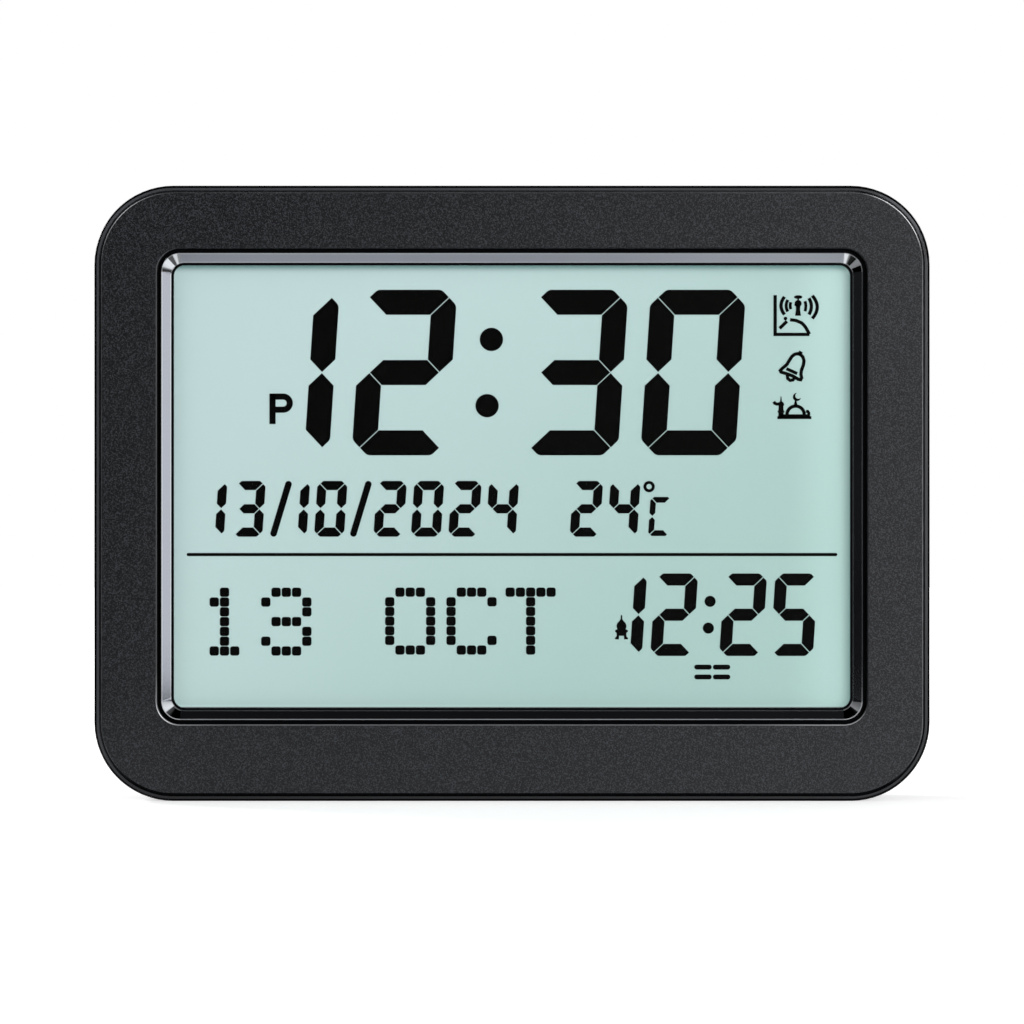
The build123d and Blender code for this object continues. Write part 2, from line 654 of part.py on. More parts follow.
# ---- Display stack --------------------------------------------------------------------------------------------------------------------
def glass_plate(bottom_cut, front, back, margin=0.0):
    """Rectangular sheet with the glass's outline, less a strip along the bottom."""
    height = GLASS_HEIGHT - bottom_cut - 2 * margin
    z = GLASS_TOP - margin - height / 2
    return slab(Pos(0, z) * Rectangle(GLASS_WIDTH - 2 * margin, height), front, back)


def front_polariser():
    return glass_plate(0.0, POLARISER_Y, FRONT_GLASS_Y, POLARISER_MARGIN)


def lcd_front_glass():
    return glass_plate(0.0, FRONT_GLASS_Y, SEGMENT_Y)


def lcd_rear_glass():
    return glass_plate(CONTACT_LEDGE, REAR_GLASS_Y, REFLECTOR_Y)


def lcd_seal():
    """Glue line round the liquid crystal, between the two glasses."""
    outer = Rectangle(GLASS_WIDTH, REAR_GLASS_HEIGHT)
    inner = Rectangle(GLASS_WIDTH - 2 * SEAL_WIDTH, REAR_GLASS_HEIGHT - 2 * SEAL_WIDTH)
    return slab(Pos(0, REAR_GLASS_Z) * (outer - inner), SEGMENT_Y, REAR_GLASS_Y)


def lcd_reflector():
    return glass_plate(CONTACT_LEDGE, REFLECTOR_Y, GUIDE_Y)


GUIDE_LEFT = -GLASS_WIDTH / 2
LED_STRIP_RIGHT = HOLDER_INNER_WIDTH / 2 - LED_STRIP_CLEARANCE
LED_STRIP_LEFT = LED_STRIP_RIGHT - LED_STRIP_THICKNESS
GUIDE_RIGHT = LED_STRIP_LEFT - LED_DEPTH - GUIDE_CLEARANCE
GUIDE_BOTTOM = GLASS_BOTTOM + CONTACT_LEDGE + GUIDE_CLEARANCE
GUIDE_TOP = GLASS_TOP - GUIDE_CLEARANCE


def light_guide():
    """Edge-lit acrylic sheet, one corner clipped so that it goes in one way round."""
    sheet = Rectangle(GUIDE_RIGHT - GUIDE_LEFT, GUIDE_TOP - GUIDE_BOTTOM)
    sheet = chamfer(sheet.vertices().sort_by(Axis.X)[:1], GUIDE_CORNER_CUT)
    place = Pos((GUIDE_RIGHT + GUIDE_LEFT) / 2, (GUIDE_TOP + GUIDE_BOTTOM) / 2)
    return slab(place * sheet, GUIDE_Y, HOLDER_FLOOR_Y)


def backlight_strip():
    """Narrow board that stands on edge and carries the lamps."""
    return Pos(0, (GUIDE_Y + HOLDER_FLOOR_Y) / 2, (GUIDE_TOP + GUIDE_BOTTOM) / 2) * (
        Pos((LED_STRIP_LEFT + LED_STRIP_RIGHT) / 2, 0, 0)
        * Box(LED_STRIP_THICKNESS, GUIDE_THICKNESS, GUIDE_TOP - GUIDE_BOTTOM)
    )


def backlight_leds():
    """Side-looking lamps along the strip."""
    pitch = (GUIDE_TOP - GUIDE_BOTTOM) / LED_COUNT
    lamps = []
    for rise in spread(LED_COUNT, pitch):
        body = Box(LED_DEPTH, LED_HEIGHT, LED_LENGTH)
        body = chamfer(body.faces().sort_by(Axis.X)[0].edges().filter_by(Axis.Y), LED_DEPTH / 4)
        x = LED_STRIP_LEFT - LED_DEPTH / 2
        lamps.append(Pos(x, (GUIDE_Y + HOLDER_FLOOR_Y) / 2, (GUIDE_TOP + GUIDE_BOTTOM) / 2 + rise) * body)
    return group(lamps)


def lcd_holder():
    """Tray behind the display, with screw ears, board standoffs and a slot for the contact strip."""
    tray = plate(FLANGE_WIDTH, FLANGE_HEIGHT, WINDOW_Z, TRIM_FLANGE_RADIUS, LENS_BACK_Y, HOLDER_BACK_Y)
    tray -= slab(
        Pos(0, WINDOW_Z) * Rectangle(HOLDER_INNER_WIDTH, HOLDER_INNER_HEIGHT), LENS_BACK_Y, HOLDER_FLOOR_Y
    )
    for x, z, side in EAR_PLACES:
        ear = RectangleRounded(EAR_WIDTH, 2 * EAR_REACH, EAR_WIDTH / 3)
        tray += slab(Pos(x, z) * ear, EAR_Y, HOLDER_BACK_Y) - slab(
            Pos(0, WINDOW_Z) * Rectangle(HOLDER_INNER_WIDTH, HOLDER_INNER_HEIGHT), EAR_Y, HOLDER_BACK_Y
        )
        hole = SMALL_SHANK + 2 * SCREW_HOLE_CLEARANCE
        tray -= disc(x, z + side * EAR_SCREW_REACH, hole, EAR_Y, HOLDER_BACK_Y)
    for x, z in BOARD_SCREW_PLACES:
        tray += disc(x, z, BOARD_STANDOFF_DIAMETER, HOLDER_BACK_Y, BOARD_Y)
        bore = SMALL_SHANK + 2 * SCREW_THREAD_CLEARANCE
        tray -= disc(x, z, bore, HOLDER_FLOOR_Y + SCREW_THREAD_CLEARANCE, BOARD_Y)
    slot = Rectangle(ZEBRA_LENGTH + 2 * ZEBRA_SLOT_CLEARANCE, ZEBRA_WIDTH + 2 * ZEBRA_SLOT_CLEARANCE)
    tray -= slab(Pos(0, ZEBRA_Z) * slot, HOLDER_FLOOR_Y, HOLDER_BACK_Y)
    return tray


def zebra_strip():
    """Rubber contact strip squeezed between the front glass's ledge and the main board."""
    return slab(Pos(0, ZEBRA_Z) * Rectangle(ZEBRA_LENGTH, ZEBRA_WIDTH), SEGMENT_Y, BOARD_Y)


# ---- Figures on the display ------------------------------------------------------------------------------------------------------------
def digit_segments(width, height, stroke, x, z):
    """Outlines of the seven slanted, mitred segments of one digit, by letter."""
    half_w = width / 2
    half_h = height / 2
    half_s = stroke / 2
    gap = SEGMENT_GAP / math.sqrt(2)
    cut = CORNER_CUT * stroke

    def leaning(points):
        return Polygon(*[(x + px + SLANT * pz, z + pz) for px, pz in points], align=None)

    outline = leaning(
        [
            (half_w - cut, half_h),
            (half_w, half_h - cut),
            (half_w, cut - half_h),
            (half_w - cut, -half_h),
            (cut - half_w, -half_h),
            (-half_w, cut - half_h),
            (-half_w, half_h - cut),
            (cut - half_w, half_h),
        ]
    )
    outline = fillet(outline.vertices(), CORNER_SOFTNESS * stroke)
    bar = [
        (gap - half_w, half_h),
        (half_w - gap, half_h),
        (half_w - stroke - gap, half_h - stroke),
        (stroke + gap - half_w, half_h - stroke),
    ]
    middle = [
        (gap + half_s - half_w, 0),
        (gap + stroke - half_w, half_s),
        (half_w - stroke - gap, half_s),
        (half_w - half_s - gap, 0),
        (half_w - stroke - gap, -half_s),
        (gap + stroke - half_w, -half_s),
    ]
    post = [
        (half_w, half_s + gap),
        (half_w, half_h - gap),
        (half_w - stroke, half_h - stroke - gap),
        (half_w - stroke, half_s + gap),
        (half_w - half_s, gap),
    ]
    shapes = {
        "a": bar,
        "d": [(px, -pz) for px, pz in bar],
        "g": middle,
        "b": post,
        "c": [(px, -pz) for px, pz in post],
        "f": [(-px, pz) for px, pz in post],
        "e": [(-px, -pz) for px, pz in post],
    }
    return {letter: outline & leaning(points) for letter, points in shapes.items()}


def number(digits, width, height, stroke, pitch, x, z):
    """Lit segments of a row of digits, centred on a place in the viewing area."""
    lit = []
    for digit, offset in zip(digits, spread(len(digits), pitch)):
        segments = digit_segments(width, height, stroke, x + offset, z)
        lit += [segments[letter] for letter in SEGMENTS_OF_DIGIT[digit]]
    return lit


def colon(x, z, spread_height, diameter):
    """Two round dots, one leaning with the digits above the other."""
    lean = SLANT * spread_height / 2
    return [
        Pos(x + side * lean, z + side * spread_height / 2) * Circle(diameter / 2) for side in (1, -1)
    ]


def slash(x, z):
    rise = DATE_HEIGHT - SLASH_STROKE
    run = SLASH_WIDTH - SLASH_STROKE
    angle = math.degrees(math.atan2(rise, run))
    return Pos(x, z) * SlotCenterToCenter(math.hypot(rise, run), SLASH_STROKE, rotation=angle)


def matrix_character(character, left, top):
    """Lit soft-cornered squares of one five by seven dot character."""
    squares = []
    for row, pattern in enumerate(MATRIX_ROWS[character]):
        for column, mark in enumerate(pattern):
            if mark == "#":
                place = Pos(left + column * MATRIX_PITCH_X, top - row * MATRIX_PITCH_Z)
                squares.append(place * RectangleRounded(MATRIX_SQUARE, MATRIX_SQUARE, MATRIX_SOFTNESS))
    return squares


def lit_figures():
    """Every lit figure: time, date, temperature, rule, dot-matrix day and second time."""
    clock = (CLOCK_WIDTH, CLOCK_HEIGHT, CLOCK_STROKE, CLOCK_PITCH)
    date = (DATE_WIDTH, DATE_HEIGHT, DATE_STROKE, DATE_PITCH)
    second = (SECOND_WIDTH, SECOND_HEIGHT, SECOND_STROKE, SECOND_PITCH)
    lit = number("12", *clock, CLOCK_HOURS_X, CLOCK_RISE)
    lit += number("30", *clock, CLOCK_MINUTES_X, CLOCK_RISE)
    lit += colon(CLOCK_COLON_X, CLOCK_RISE, CLOCK_COLON_SPREAD, CLOCK_DOT)
    lit += number("13", DATE_WIDTH, DATE_HEIGHT, DATE_STROKE, DAY_PITCH, DAY_X, DATE_RISE)
    lit += number("10", *date, MONTH_X, DATE_RISE)
    lit += number("2024", *date, YEAR_X, DATE_RISE)
    lit += number("24", *date, TEMPERATURE_X, DATE_RISE)
    lit += [slash(x, DATE_RISE) for x in SLASH_X]
    lit.append(Pos(DEGREE_X, DEGREE_RISE) * (Circle(DEGREE_OUTER / 2) - Circle(DEGREE_INNER / 2)))
    lit.append(Pos(0, RULE_RISE) * SlotOverall(RULE_LENGTH, RULE_THICKNESS))
    lit += number("12", *second, SECOND_HOURS_X, SECOND_RISE)
    lit += number("25", *second, SECOND_MINUTES_X, SECOND_RISE)
    lit += colon(SECOND_COLON_X, SECOND_RISE, SECOND_COLON_SPREAD, SECOND_DOT)
    for x in BAR_X:
        for rise in BAR_RISE:
            lit.append(Pos(x, rise) * SlotOverall(BAR_LENGTH, BAR_THICKNESS))
    for index, character in enumerate("13"):
        lit += matrix_character(character, MATRIX_LEFT + index * MATRIX_CHARACTER_PITCH, MATRIX_TOP)
    return lit


def lcd_segments():
    """Dark figures in the cell gap, kept to the viewing area."""
    view = Rectangle(VIEW_WIDTH, VIEW_HEIGHT)
    solids = []
    for figure in lit_figures():
        seen = figure & view
        if seen.area > 0:
            solids += slab(Pos(0, WINDOW_Z) * seen, SEGMENT_Y, REAR_GLASS_Y).solids()
    return group(solids)


# ---- Main board ---------------------------------------------------------------------------------------------------------------------------
def main_pcb():
    board = plate(BOARD_WIDTH, BOARD_HEIGHT, BOARD_Z, BOARD_RADIUS, BOARD_Y, BOARD_BACK_Y)
    for hole in discs(BOARD_SCREW_PLACES, SMALL_SHANK + 2 * SCREW_HOLE_CLEARANCE, BOARD_Y, BOARD_BACK_Y):
        board -= hole
    return board


def controller_chip():
    """Flat-pack controller with pins on all four sides."""
    body = Box(CHIP_SIDE, CHIP_HEIGHT, CHIP_SIDE)
    body = chamfer(body.faces().sort_by(Axis.Y)[-1].edges(), CHIP_HEIGHT / 5)
    pin_pitch = CHIP_SIDE / (CHIP_PINS_PER_SIDE + 1)
    chip = body
    for turn in range(4):
        for offset in spread(CHIP_PINS_PER_SIDE, pin_pitch):
            pin = Pos(CHIP_SIDE / 2, -CHIP_HEIGHT / 4, offset) * Box(
                2 * CHIP_PIN_REACH, CHIP_HEIGHT / 2, CHIP_PIN_WIDTH
            )
            chip += Rot(0, 90 * turn, 0) * pin
    return Pos(CHIP_X, BOARD_BACK_Y + CHIP_HEIGHT / 2, BOARD_Z) * chip


def quartz_crystal():
    """Metal crystal can on its base flange."""
    can = SlotOverall(CRYSTAL_LENGTH, CRYSTAL_WIDTH)
    flange = SlotOverall(CRYSTAL_LENGTH + 2 * CRYSTAL_FLANGE, CRYSTAL_WIDTH + 2 * CRYSTAL_FLANGE)
    top = BOARD_BACK_Y + CRYSTAL_HEIGHT
    body = slab(Pos(CRYSTAL_X, BOARD_Z) * can, BOARD_BACK_Y, top)
    body = chamfer(edges_at_depth(body, top), CRYSTAL_FLANGE)
    return body + slab(Pos(CRYSTAL_X, BOARD_Z) * flange, BOARD_BACK_Y, BOARD_BACK_Y + CRYSTAL_FLANGE)


def capacitors():
    """Row of upright electrolytic capacitors with a crimped waist."""
    radius = CAPACITOR_DIAMETER / 2
    waist = CAPACITOR_WAIST / 2
    crimp = BOARD_BACK_Y + CAPACITOR_CRIMP_RISE
    top = BOARD_BACK_Y + CAPACITOR_HEIGHT
    cans = []
    for offset in spread(CAPACITOR_COUNT, CAPACITOR_PITCH):
        cans.append(
            turned(
                [
                    (0, BOARD_BACK_Y),
                    (radius, BOARD_BACK_Y),
                    (radius, crimp - CAPACITOR_CRIMP_HALF),
                    (waist, crimp),
                    (radius, crimp + CAPACITOR_CRIMP_HALF),
                    (radius, top - CAPACITOR_CRIMP_HALF),
                    (waist, top),
                    (0, top),
                ],
                CAPACITOR_X + offset,
                BOARD_Z,
            )
        )
    return group(cans)


BEAD_Z = BOARD_BOTTOM + BEAD_RISE


def thermistor():
    """Temperature bead held off the board on two stiff leads."""
    bead_y = BOARD_BACK_Y + BEAD_STANDOFF
    bead = Pos(BEAD_X, bead_y, BEAD_Z) * Sphere(BEAD_DIAMETER / 2)
    for side in (1, -1):
        bead += disc(BEAD_X + side * BEAD_DIAMETER / 4, BEAD_Z, BEAD_LEAD, BOARD_BACK_Y, bead_y)
    return bead


def holder_screws():
    length = EAR_THICKNESS + (EAR_Y - FLANGE_Y) / 2
    small = (SMALL_SHANK, SMALL_HEAD, SMALL_HEAD_HEIGHT)
    return group(
        screw(x, z + side * EAR_SCREW_REACH, HOLDER_BACK_Y, length, *small) for x, z, side in EAR_PLACES
    )


def pcb_screws():
    length = BOARD_THICKNESS + BOARD_STANDOFF + HOLDER_FLOOR - 2 * SCREW_HOLE_CLEARANCE
    return group(
        screw(x, z, BOARD_BACK_Y, length, SMALL_SHANK, SMALL_HEAD, SMALL_HEAD_HEIGHT)
        for x, z in BOARD_SCREW_PLACES
    )


# ---- Rear half of the case -------------------------------------------------------------------------------------------------------------------
def rear_shell():
    """Open moulding: walls, rounded back edge and the tongue that enters the front half."""
    shell = slab(case_outline(), PARTING_Y, BACK_Y)
    shell = fillet(edges_at_depth(shell, BACK_Y), BACK_EDGE_RADIUS)
    shell = chamfer(edges_at_depth(shell, PARTING_Y), PARTING_CHAMFER)
    hollow = slab(case_outline(CASE_WALL), PARTING_Y, BACK_INNER_Y)
    shell -= fillet(edges_at_depth(hollow, BACK_INNER_Y), BACK_EDGE_RADIUS - CASE_WALL)
    inner = CASE_WALL + TONGUE_CLEARANCE + TONGUE_THICKNESS
    shell += slab(case_outline(CASE_WALL) - case_outline(inner), PARTING_Y, PARTING_Y + TONGUE_LENGTH)
    shell += slab(
        case_outline(CASE_WALL + TONGUE_CLEARANCE) - case_outline(inner), PARTING_Y - TONGUE_LENGTH, PARTING_Y
    )
    return shell


def add_screw_wells(shell):
    """Tubes that take the case screws down to the bosses of the front half."""
    for x, z in CASE_SCREW_PLACES:
        shell += disc(x, z, WELL_DIAMETER + 2 * WELL_WALL, WELL_FRONT_Y, BACK_INNER_Y)
        shell -= disc(x, z, WELL_DIAMETER, SCREW_SEAT_Y, BACK_Y)
        shell -= disc(x, z, CASE_SHANK + 2 * SCREW_HOLE_CLEARANCE, WELL_FRONT_Y, SCREW_SEAT_Y)
    return shell


def add_keyholes(shell):
    """Wall-hanging keyholes, each with a closed pocket behind it."""
    pocket_z = KEYHOLE_Z + KEYHOLE_SLOT_RISE / 4
    for x in (KEYHOLE_SPACING / 2, -KEYHOLE_SPACING / 2):
        outer = Rectangle(POCKET_WIDTH + 2 * POCKET_WALL, POCKET_HEIGHT + 2 * POCKET_WALL)
        front = BACK_INNER_Y - POCKET_DEPTH
        shell += slab(Pos(x, pocket_z) * outer, front - POCKET_WALL, BACK_INNER_Y)
        shell -= slab(Pos(x, pocket_z) * Rectangle(POCKET_WIDTH, POCKET_HEIGHT), front, BACK_INNER_Y)
        shell -= disc(x, KEYHOLE_Z, 2 * KEYHOLE_RADIUS, BACK_INNER_Y, BACK_Y)
        slot = SlotCenterToCenter(KEYHOLE_SLOT_RISE, KEYHOLE_SLOT_WIDTH, rotation=90)
        shell -= slab(Pos(x, KEYHOLE_Z + KEYHOLE_SLOT_RISE / 2) * slot, BACK_INNER_Y, BACK_Y)
    return shell


def terminal_tab(side, row, clearance=0.0):
    """Solder tab that leaves the bay through its end wall."""
    length = CONTACT_THICKNESS + BAY_WALL + TAB_REACH
    x = side * (TAB_END_X - length / 2)
    thickness = CONTACT_THICKNESS + 2 * clearance
    return Pos(x, TAB_Y, BATTERY_ROWS[row]) * Box(length, thickness, TAB_WIDTH + 2 * clearance)


def hook_slot(side):
    """Notch through the bay's lower wall in which one door hook swings."""
    reach = math.hypot(HOOK_LENGTH, CASE_WALL + HOOK_UNDER_WALL + HOOK_THICKNESS)
    front = BACK_Y - reach - HOOK_CLEARANCE
    width = HOOK_WIDTH + 2 * HOOK_CLEARANCE
    notch = Pos(side * HOOK_X, BAY_BOTTOM + BAY_WALL / 2) * Rectangle(width, BAY_WALL)
    return slab(notch, front, DOOR_SEAT_Y)


def add_battery_bay(shell):
    """Open-backed box for the cells with a ledge for the door and a fingertip scoop."""
    shell += plate(BAY_WIDTH, BAY_HEIGHT, BAY_Z, BAY_RADIUS, BAY_FRONT_Y, BACK_INNER_Y)
    shell -= slab(Pos(0, BAY_Z) * Rectangle(BAY_INNER_WIDTH, BAY_INNER_HEIGHT), BAY_FLOOR_Y, BACK_Y)
    shell -= plate(BAY_WIDTH, BAY_HEIGHT, BAY_Z, BAY_RADIUS, DOOR_SEAT_Y, BACK_Y)
    for side in (1, -1):
        shell -= hook_slot(side)
    for side, row in TERMINALS:
        shell -= terminal_tab(side, row, TAB_CLEARANCE)
    scoop = Pos(0, BAY_TOP) * SlotOverall(SCOOP_WIDTH, 2 * SCOOP_HEIGHT)
    scoop &= Pos(0, BAY_TOP + SCOOP_HEIGHT) * Rectangle(SCOOP_WIDTH, 2 * SCOOP_HEIGHT)
    return shell - slab(scoop, BACK_Y - SCOOP_DEPTH, BACK_Y)


def leg_outline(grow=0.0, top=None, bottom=None):
    """Tapered outline of the stand leg, between two heights, grown at its sides."""
    top = LEG_TOP if top is None else top
    bottom = LEG_TIP_HEIGHT if bottom is None else bottom
    slope = (LEG_WIDTH_TOP - LEG_WIDTH_TIP) / 2 / (LEG_TOP - LEG_TIP_HEIGHT)
    tip_half = LEG_WIDTH_TIP / 2 + grow

    def half_width(z):
        return min(tip_half + slope * (z - LEG_TIP_HEIGHT), LEG_WIDTH_TOP / 2 + grow)

    return Polygon(
        (-half_width(bottom), bottom),
        (half_width(bottom), bottom),
        (half_width(top), top),
        (-half_width(top), top),
        align=None,
    )


def add_leg_recess(shell):
    """Tapered recess for the folded leg, open at the case's base, with its hinge ears."""
    walls = leg_outline(LEG_CLEARANCE + RECESS_WALL, RECESS_TOP + RECESS_WALL, CASE_WALL / 2)
    shell += slab(walls, RECESS_FRONT_Y, BACK_INNER_Y)
    for side in (1, -1):
        ear = Rectangle(EAR_BLOCK_WALL, EAR_BLOCK_SIZE)
        x = side * (LEG_WIDTH_TOP / 2 + LEG_CLEARANCE + EAR_BLOCK_WALL / 2)
        shell += slab(Pos(x, HINGE_Z) * ear, RECESS_FRONT_Y, BACK_INNER_Y)
    shell -= slab(leg_outline(LEG_CLEARANCE, RECESS_TOP, -CASE_WALL), RECESS_FLOOR_Y, BACK_Y)
    socket_length = LEG_WIDTH_TOP + 2 * (TRUNNION_LENGTH + TRUNNION_CLEARANCE)
    return shell - hinge_bar(TRUNNION_DIAMETER + 2 * TRUNNION_CLEARANCE, socket_length)


def add_speaker_seat(shell):
    """Seat ring, screw bosses and the dished grille of round-ended slots."""
    ring_inner = SPEAKER_DIAMETER / 2 + SEAT_RING_CLEARANCE
    ring = Circle(ring_inner + SEAT_RING_WALL) - Circle(ring_inner)
    shell += slab(Pos(SPEAKER_X, SPEAKER_Z) * ring, SPEAKER_FLANGE_Y, BACK_INNER_Y)
    for x, z in SPEAKER_SCREW_PLACES:
        boss = disc(x, z, KEY_BOSS_DIAMETER, SPEAKER_FLANGE_Y, BACK_INNER_Y)
        shell += boss - disc(SPEAKER_X, SPEAKER_Z, 2 * ring_inner, SPEAKER_FLANGE_Y, BACK_INNER_Y)
        bore = SMALL_SHANK + 2 * SCREW_THREAD_CLEARANCE
        shell -= disc(x, z, bore, SPEAKER_FLANGE_Y, BACK_INNER_Y + CASE_WALL / 2)
    dish = GRILLE_DIAMETER + 2 * GRILLE_DISH_MARGIN
    shell -= disc(SPEAKER_X, SPEAKER_Z, dish, BACK_Y - GRILLE_DISH, BACK_Y)
    rows = int(GRILLE_DIAMETER / GRILLE_PITCH) // 2 * 2 - 1
    for rise in spread(rows, GRILLE_PITCH):
        length = 2 * math.sqrt((GRILLE_DIAMETER / 2) ** 2 - rise**2)
        slot = SlotOverall(length, GRILLE_SLOT)
        shell -= slab(Pos(SPEAKER_X, SPEAKER_Z + rise) * slot, BACK_INNER_Y, BACK_Y)
    return shell


def add_key_recess(shell):
    """Sunken column with a hole for each key and two bosses for the key board."""
    margin = CASE_WALL - KEY_RECESS_DEPTH + KEY_FLOOR_WALL
    place = Pos(KEY_X, KEY_COLUMN_RISE)
    pad = RectangleRounded(KEY_RECESS_WIDTH + margin, KEY_RECESS_HEIGHT + margin, KEY_RECESS_RADIUS)
    shell += slab(place * pad, KEY_FLOOR_INNER_Y, BACK_INNER_Y)
    pan = RectangleRounded(KEY_RECESS_WIDTH, KEY_RECESS_HEIGHT, KEY_RECESS_RADIUS)
    shell -= slab(place * pan, KEY_RECESS_Y, BACK_Y)
    for z in KEY_ROWS:
        hole = SlotOverall(KEY_WIDTH + 2 * KEY_CLEARANCE, KEY_HEIGHT + 2 * KEY_CLEARANCE)
        shell -= slab(Pos(KEY_X, z) * hole, KEY_FLOOR_INNER_Y, KEY_RECESS_Y)
    bore = SMALL_SHANK + 2 * SCREW_THREAD_CLEARANCE
    for z in KEY_BOSS_ROWS:
        shell += disc(KEY_X, z, KEY_BOSS_DIAMETER, KEY_BOARD_BACK_Y, KEY_FLOOR_INNER_Y)
        shell -= disc(KEY_X, z, bore, KEY_BOARD_BACK_Y, KEY_BOARD_BACK_Y + KEY_BORE_DEPTH)
    return shell


def add_vents(shell):
    """Upright slots beside the temperature bead."""
    for offset in spread(VENT_COUNT, VENT_PITCH):
        slot = SlotOverall(VENT_LENGTH, VENT_WIDTH, rotation=90)
        shell -= slab(Pos(BEAD_X + offset, BEAD_Z) * slot, BACK_INNER_Y, BACK_Y)
    return shell


def rear_cover():
    """Moulded back with its bay, recesses, keyholes, grille and screw wells."""
    cover = rear_shell()
    cover = add_battery_bay(cover)
    cover = add_leg_recess(cover)
    cover = add_keyholes(cover)
    cover = add_speaker_seat(cover)
    cover = add_key_recess(cover)
    cover = add_vents(cover)
    return add_screw_wells(cover)


def case_screws():
    return group(
        screw(x, z, SCREW_SEAT_Y, CASE_SCREW_LENGTH, CASE_SHANK, CASE_HEAD, CASE_HEAD_HEIGHT)
        for x, z in CASE_SCREW_PLACES
    )


# ---- Speaker -----------------------------------------------------------------------------------------------------------------------------------
def speaker_frame():
    """Pressed basket: a flange, a conical wall and a flat floor with a hole for the pole."""
    rim = SPEAKER_DIAMETER / 2
    waist = rim - SPEAKER_FLANGE_WIDTH
    floor = SPEAKER_BACK_DIAMETER / 2
    pole = POLE_DIAMETER / 2 + CONE_THICKNESS
    tag_top = SPEAKER_Z - floor - 2 * SPEAKER_WALL
    tag_bottom = SPEAKER_Z - TAG_REACH
    tag = Box(TAG_WIDTH, TAG_THICKNESS, tag_top - tag_bottom)
    return Pos(SPEAKER_X, TAG_Y, (tag_top + tag_bottom) / 2) * tag + turned(
        [
            (pole, SPEAKER_BASKET_Y),
            (floor, SPEAKER_BASKET_Y),
            (waist + SPEAKER_WALL, SPEAKER_FLANGE_Y),
            (rim, SPEAKER_FLANGE_Y),
            (rim, BACK_INNER_Y),
            (waist, BACK_INNER_Y),
            (waist, SPEAKER_FLANGE_Y),
            (floor - SPEAKER_WALL, SPEAKER_BASKET_Y + SPEAKER_WALL),
            (pole, SPEAKER_BASKET_Y + SPEAKER_WALL),
        ],
        SPEAKER_X,
        SPEAKER_Z,
    )


def speaker_cone():
    """Paper cone with a rolled edge and a dust cap, glued inside the flange."""
    edge = SPEAKER_DIAMETER / 2 - SPEAKER_FLANGE_WIDTH
    throat = CONE_INNER_DIAMETER / 2
    top = SPEAKER_FLANGE_Y + SPEAKER_FLANGE / 2
    foot = top - CONE_DEPTH
    skin = CONE_THICKNESS
    profile = [
        (0, foot + DUST_CAP_RISE),
        (throat, foot),
        (edge - 2 * CONE_ROLL, top - CONE_ROLL_SINK),
        (edge - CONE_ROLL, top),
        (edge, top - skin),
    ]
    behind = [(radius, depth + skin) for radius, depth in reversed(profile)]
    return turned(profile + behind, SPEAKER_X, SPEAKER_Z)


def speaker_magnet():
    """Ring magnet under the basket with its pole standing up inside."""
    radius = MAGNET_DIAMETER / 2
    edge = MAGNET_HEIGHT / 8
    pole = POLE_DIAMETER / 2
    front = SPEAKER_BASKET_Y - MAGNET_HEIGHT
    return turned(
        [
            (0, front),
            (radius - edge, front),
            (radius, front + edge),
            (radius, SPEAKER_BASKET_Y - edge),
            (radius - edge, SPEAKER_BASKET_Y),
            (pole, SPEAKER_BASKET_Y),
            (pole, SPEAKER_BASKET_Y + SPEAKER_WALL),
            (0, SPEAKER_BASKET_Y + SPEAKER_WALL),
        ],
        SPEAKER_X,
        SPEAKER_Z,
    )


def inward_screw(x, z, seat, length, shank, head, head_height):
    """Screw driven backwards from inside the case, its head on a seat at a given depth."""
    return Pos(0, 2 * seat, 0) * mirror(
        screw(x, z, seat, length, shank, head, head_height), Plane.XZ
    )


def speaker_screws():
    length = SPEAKER_FLANGE + CASE_WALL / 2 - SCREW_THREAD_CLEARANCE
    small = (SMALL_SHANK, SPEAKER_SCREW_HEAD, SMALL_HEAD_HEIGHT)
    return group(inward_screw(x, z, SPEAKER_FLANGE_Y, length, *small) for x, z in SPEAKER_SCREW_PLACES)


# ---- Keys ----------------------------------------------------------------------------------------------------------------------------------------
def key_cap(z):
    """Pill-shaped key with a dished top, a retaining flange and a stem."""
    pill = Pos(KEY_X, z) * SlotOverall(KEY_WIDTH, KEY_HEIGHT)
    cap = slab(pill, KEY_FLANGE_BACK_Y, KEY_TOP_Y)
    cap = fillet(edges_at_depth(cap, KEY_TOP_Y), KEY_BELOW_BACK)
    dish_y = KEY_TOP_Y - KEY_DISH_DEPTH + KEY_DISH_RADIUS
    cap -= Pos(KEY_X, dish_y, z) * Sphere(KEY_DISH_RADIUS)
    flange = SlotOverall(KEY_WIDTH + 2 * KEY_FLANGE, KEY_HEIGHT + 2 * KEY_FLANGE)
    cap += slab(Pos(KEY_X, z) * flange, KEY_FLANGE_FRONT_Y, KEY_FLANGE_BACK_Y)
    cap += disc(KEY_X, z, KEY_STEM, PLUNGER_BACK_Y, KEY_FLANGE_FRONT_Y)
    return cap


def key_plunger(z):
    """Switch plunger that moves with its key."""
    return disc(KEY_X, z, PLUNGER_DIAMETER, PLUNGER_BACK_Y - PLUNGER_LENGTH, PLUNGER_BACK_Y)


def key_switches():
    """Square switch bodies with a bore for each plunger."""
    switches = []
    for z in KEY_ROWS:
        body = slab(Pos(KEY_X, z) * Rectangle(SWITCH_SIDE, SWITCH_SIDE), KEY_BOARD_BACK_Y, SWITCH_BACK_Y)
        bore = PLUNGER_DIAMETER + 2 * PLUNGER_CLEARANCE
        body -= disc(KEY_X, z, bore, SWITCH_BACK_Y - PLUNGER_LENGTH, SWITCH_BACK_Y)
        switches.append(body)
    return group(switches)


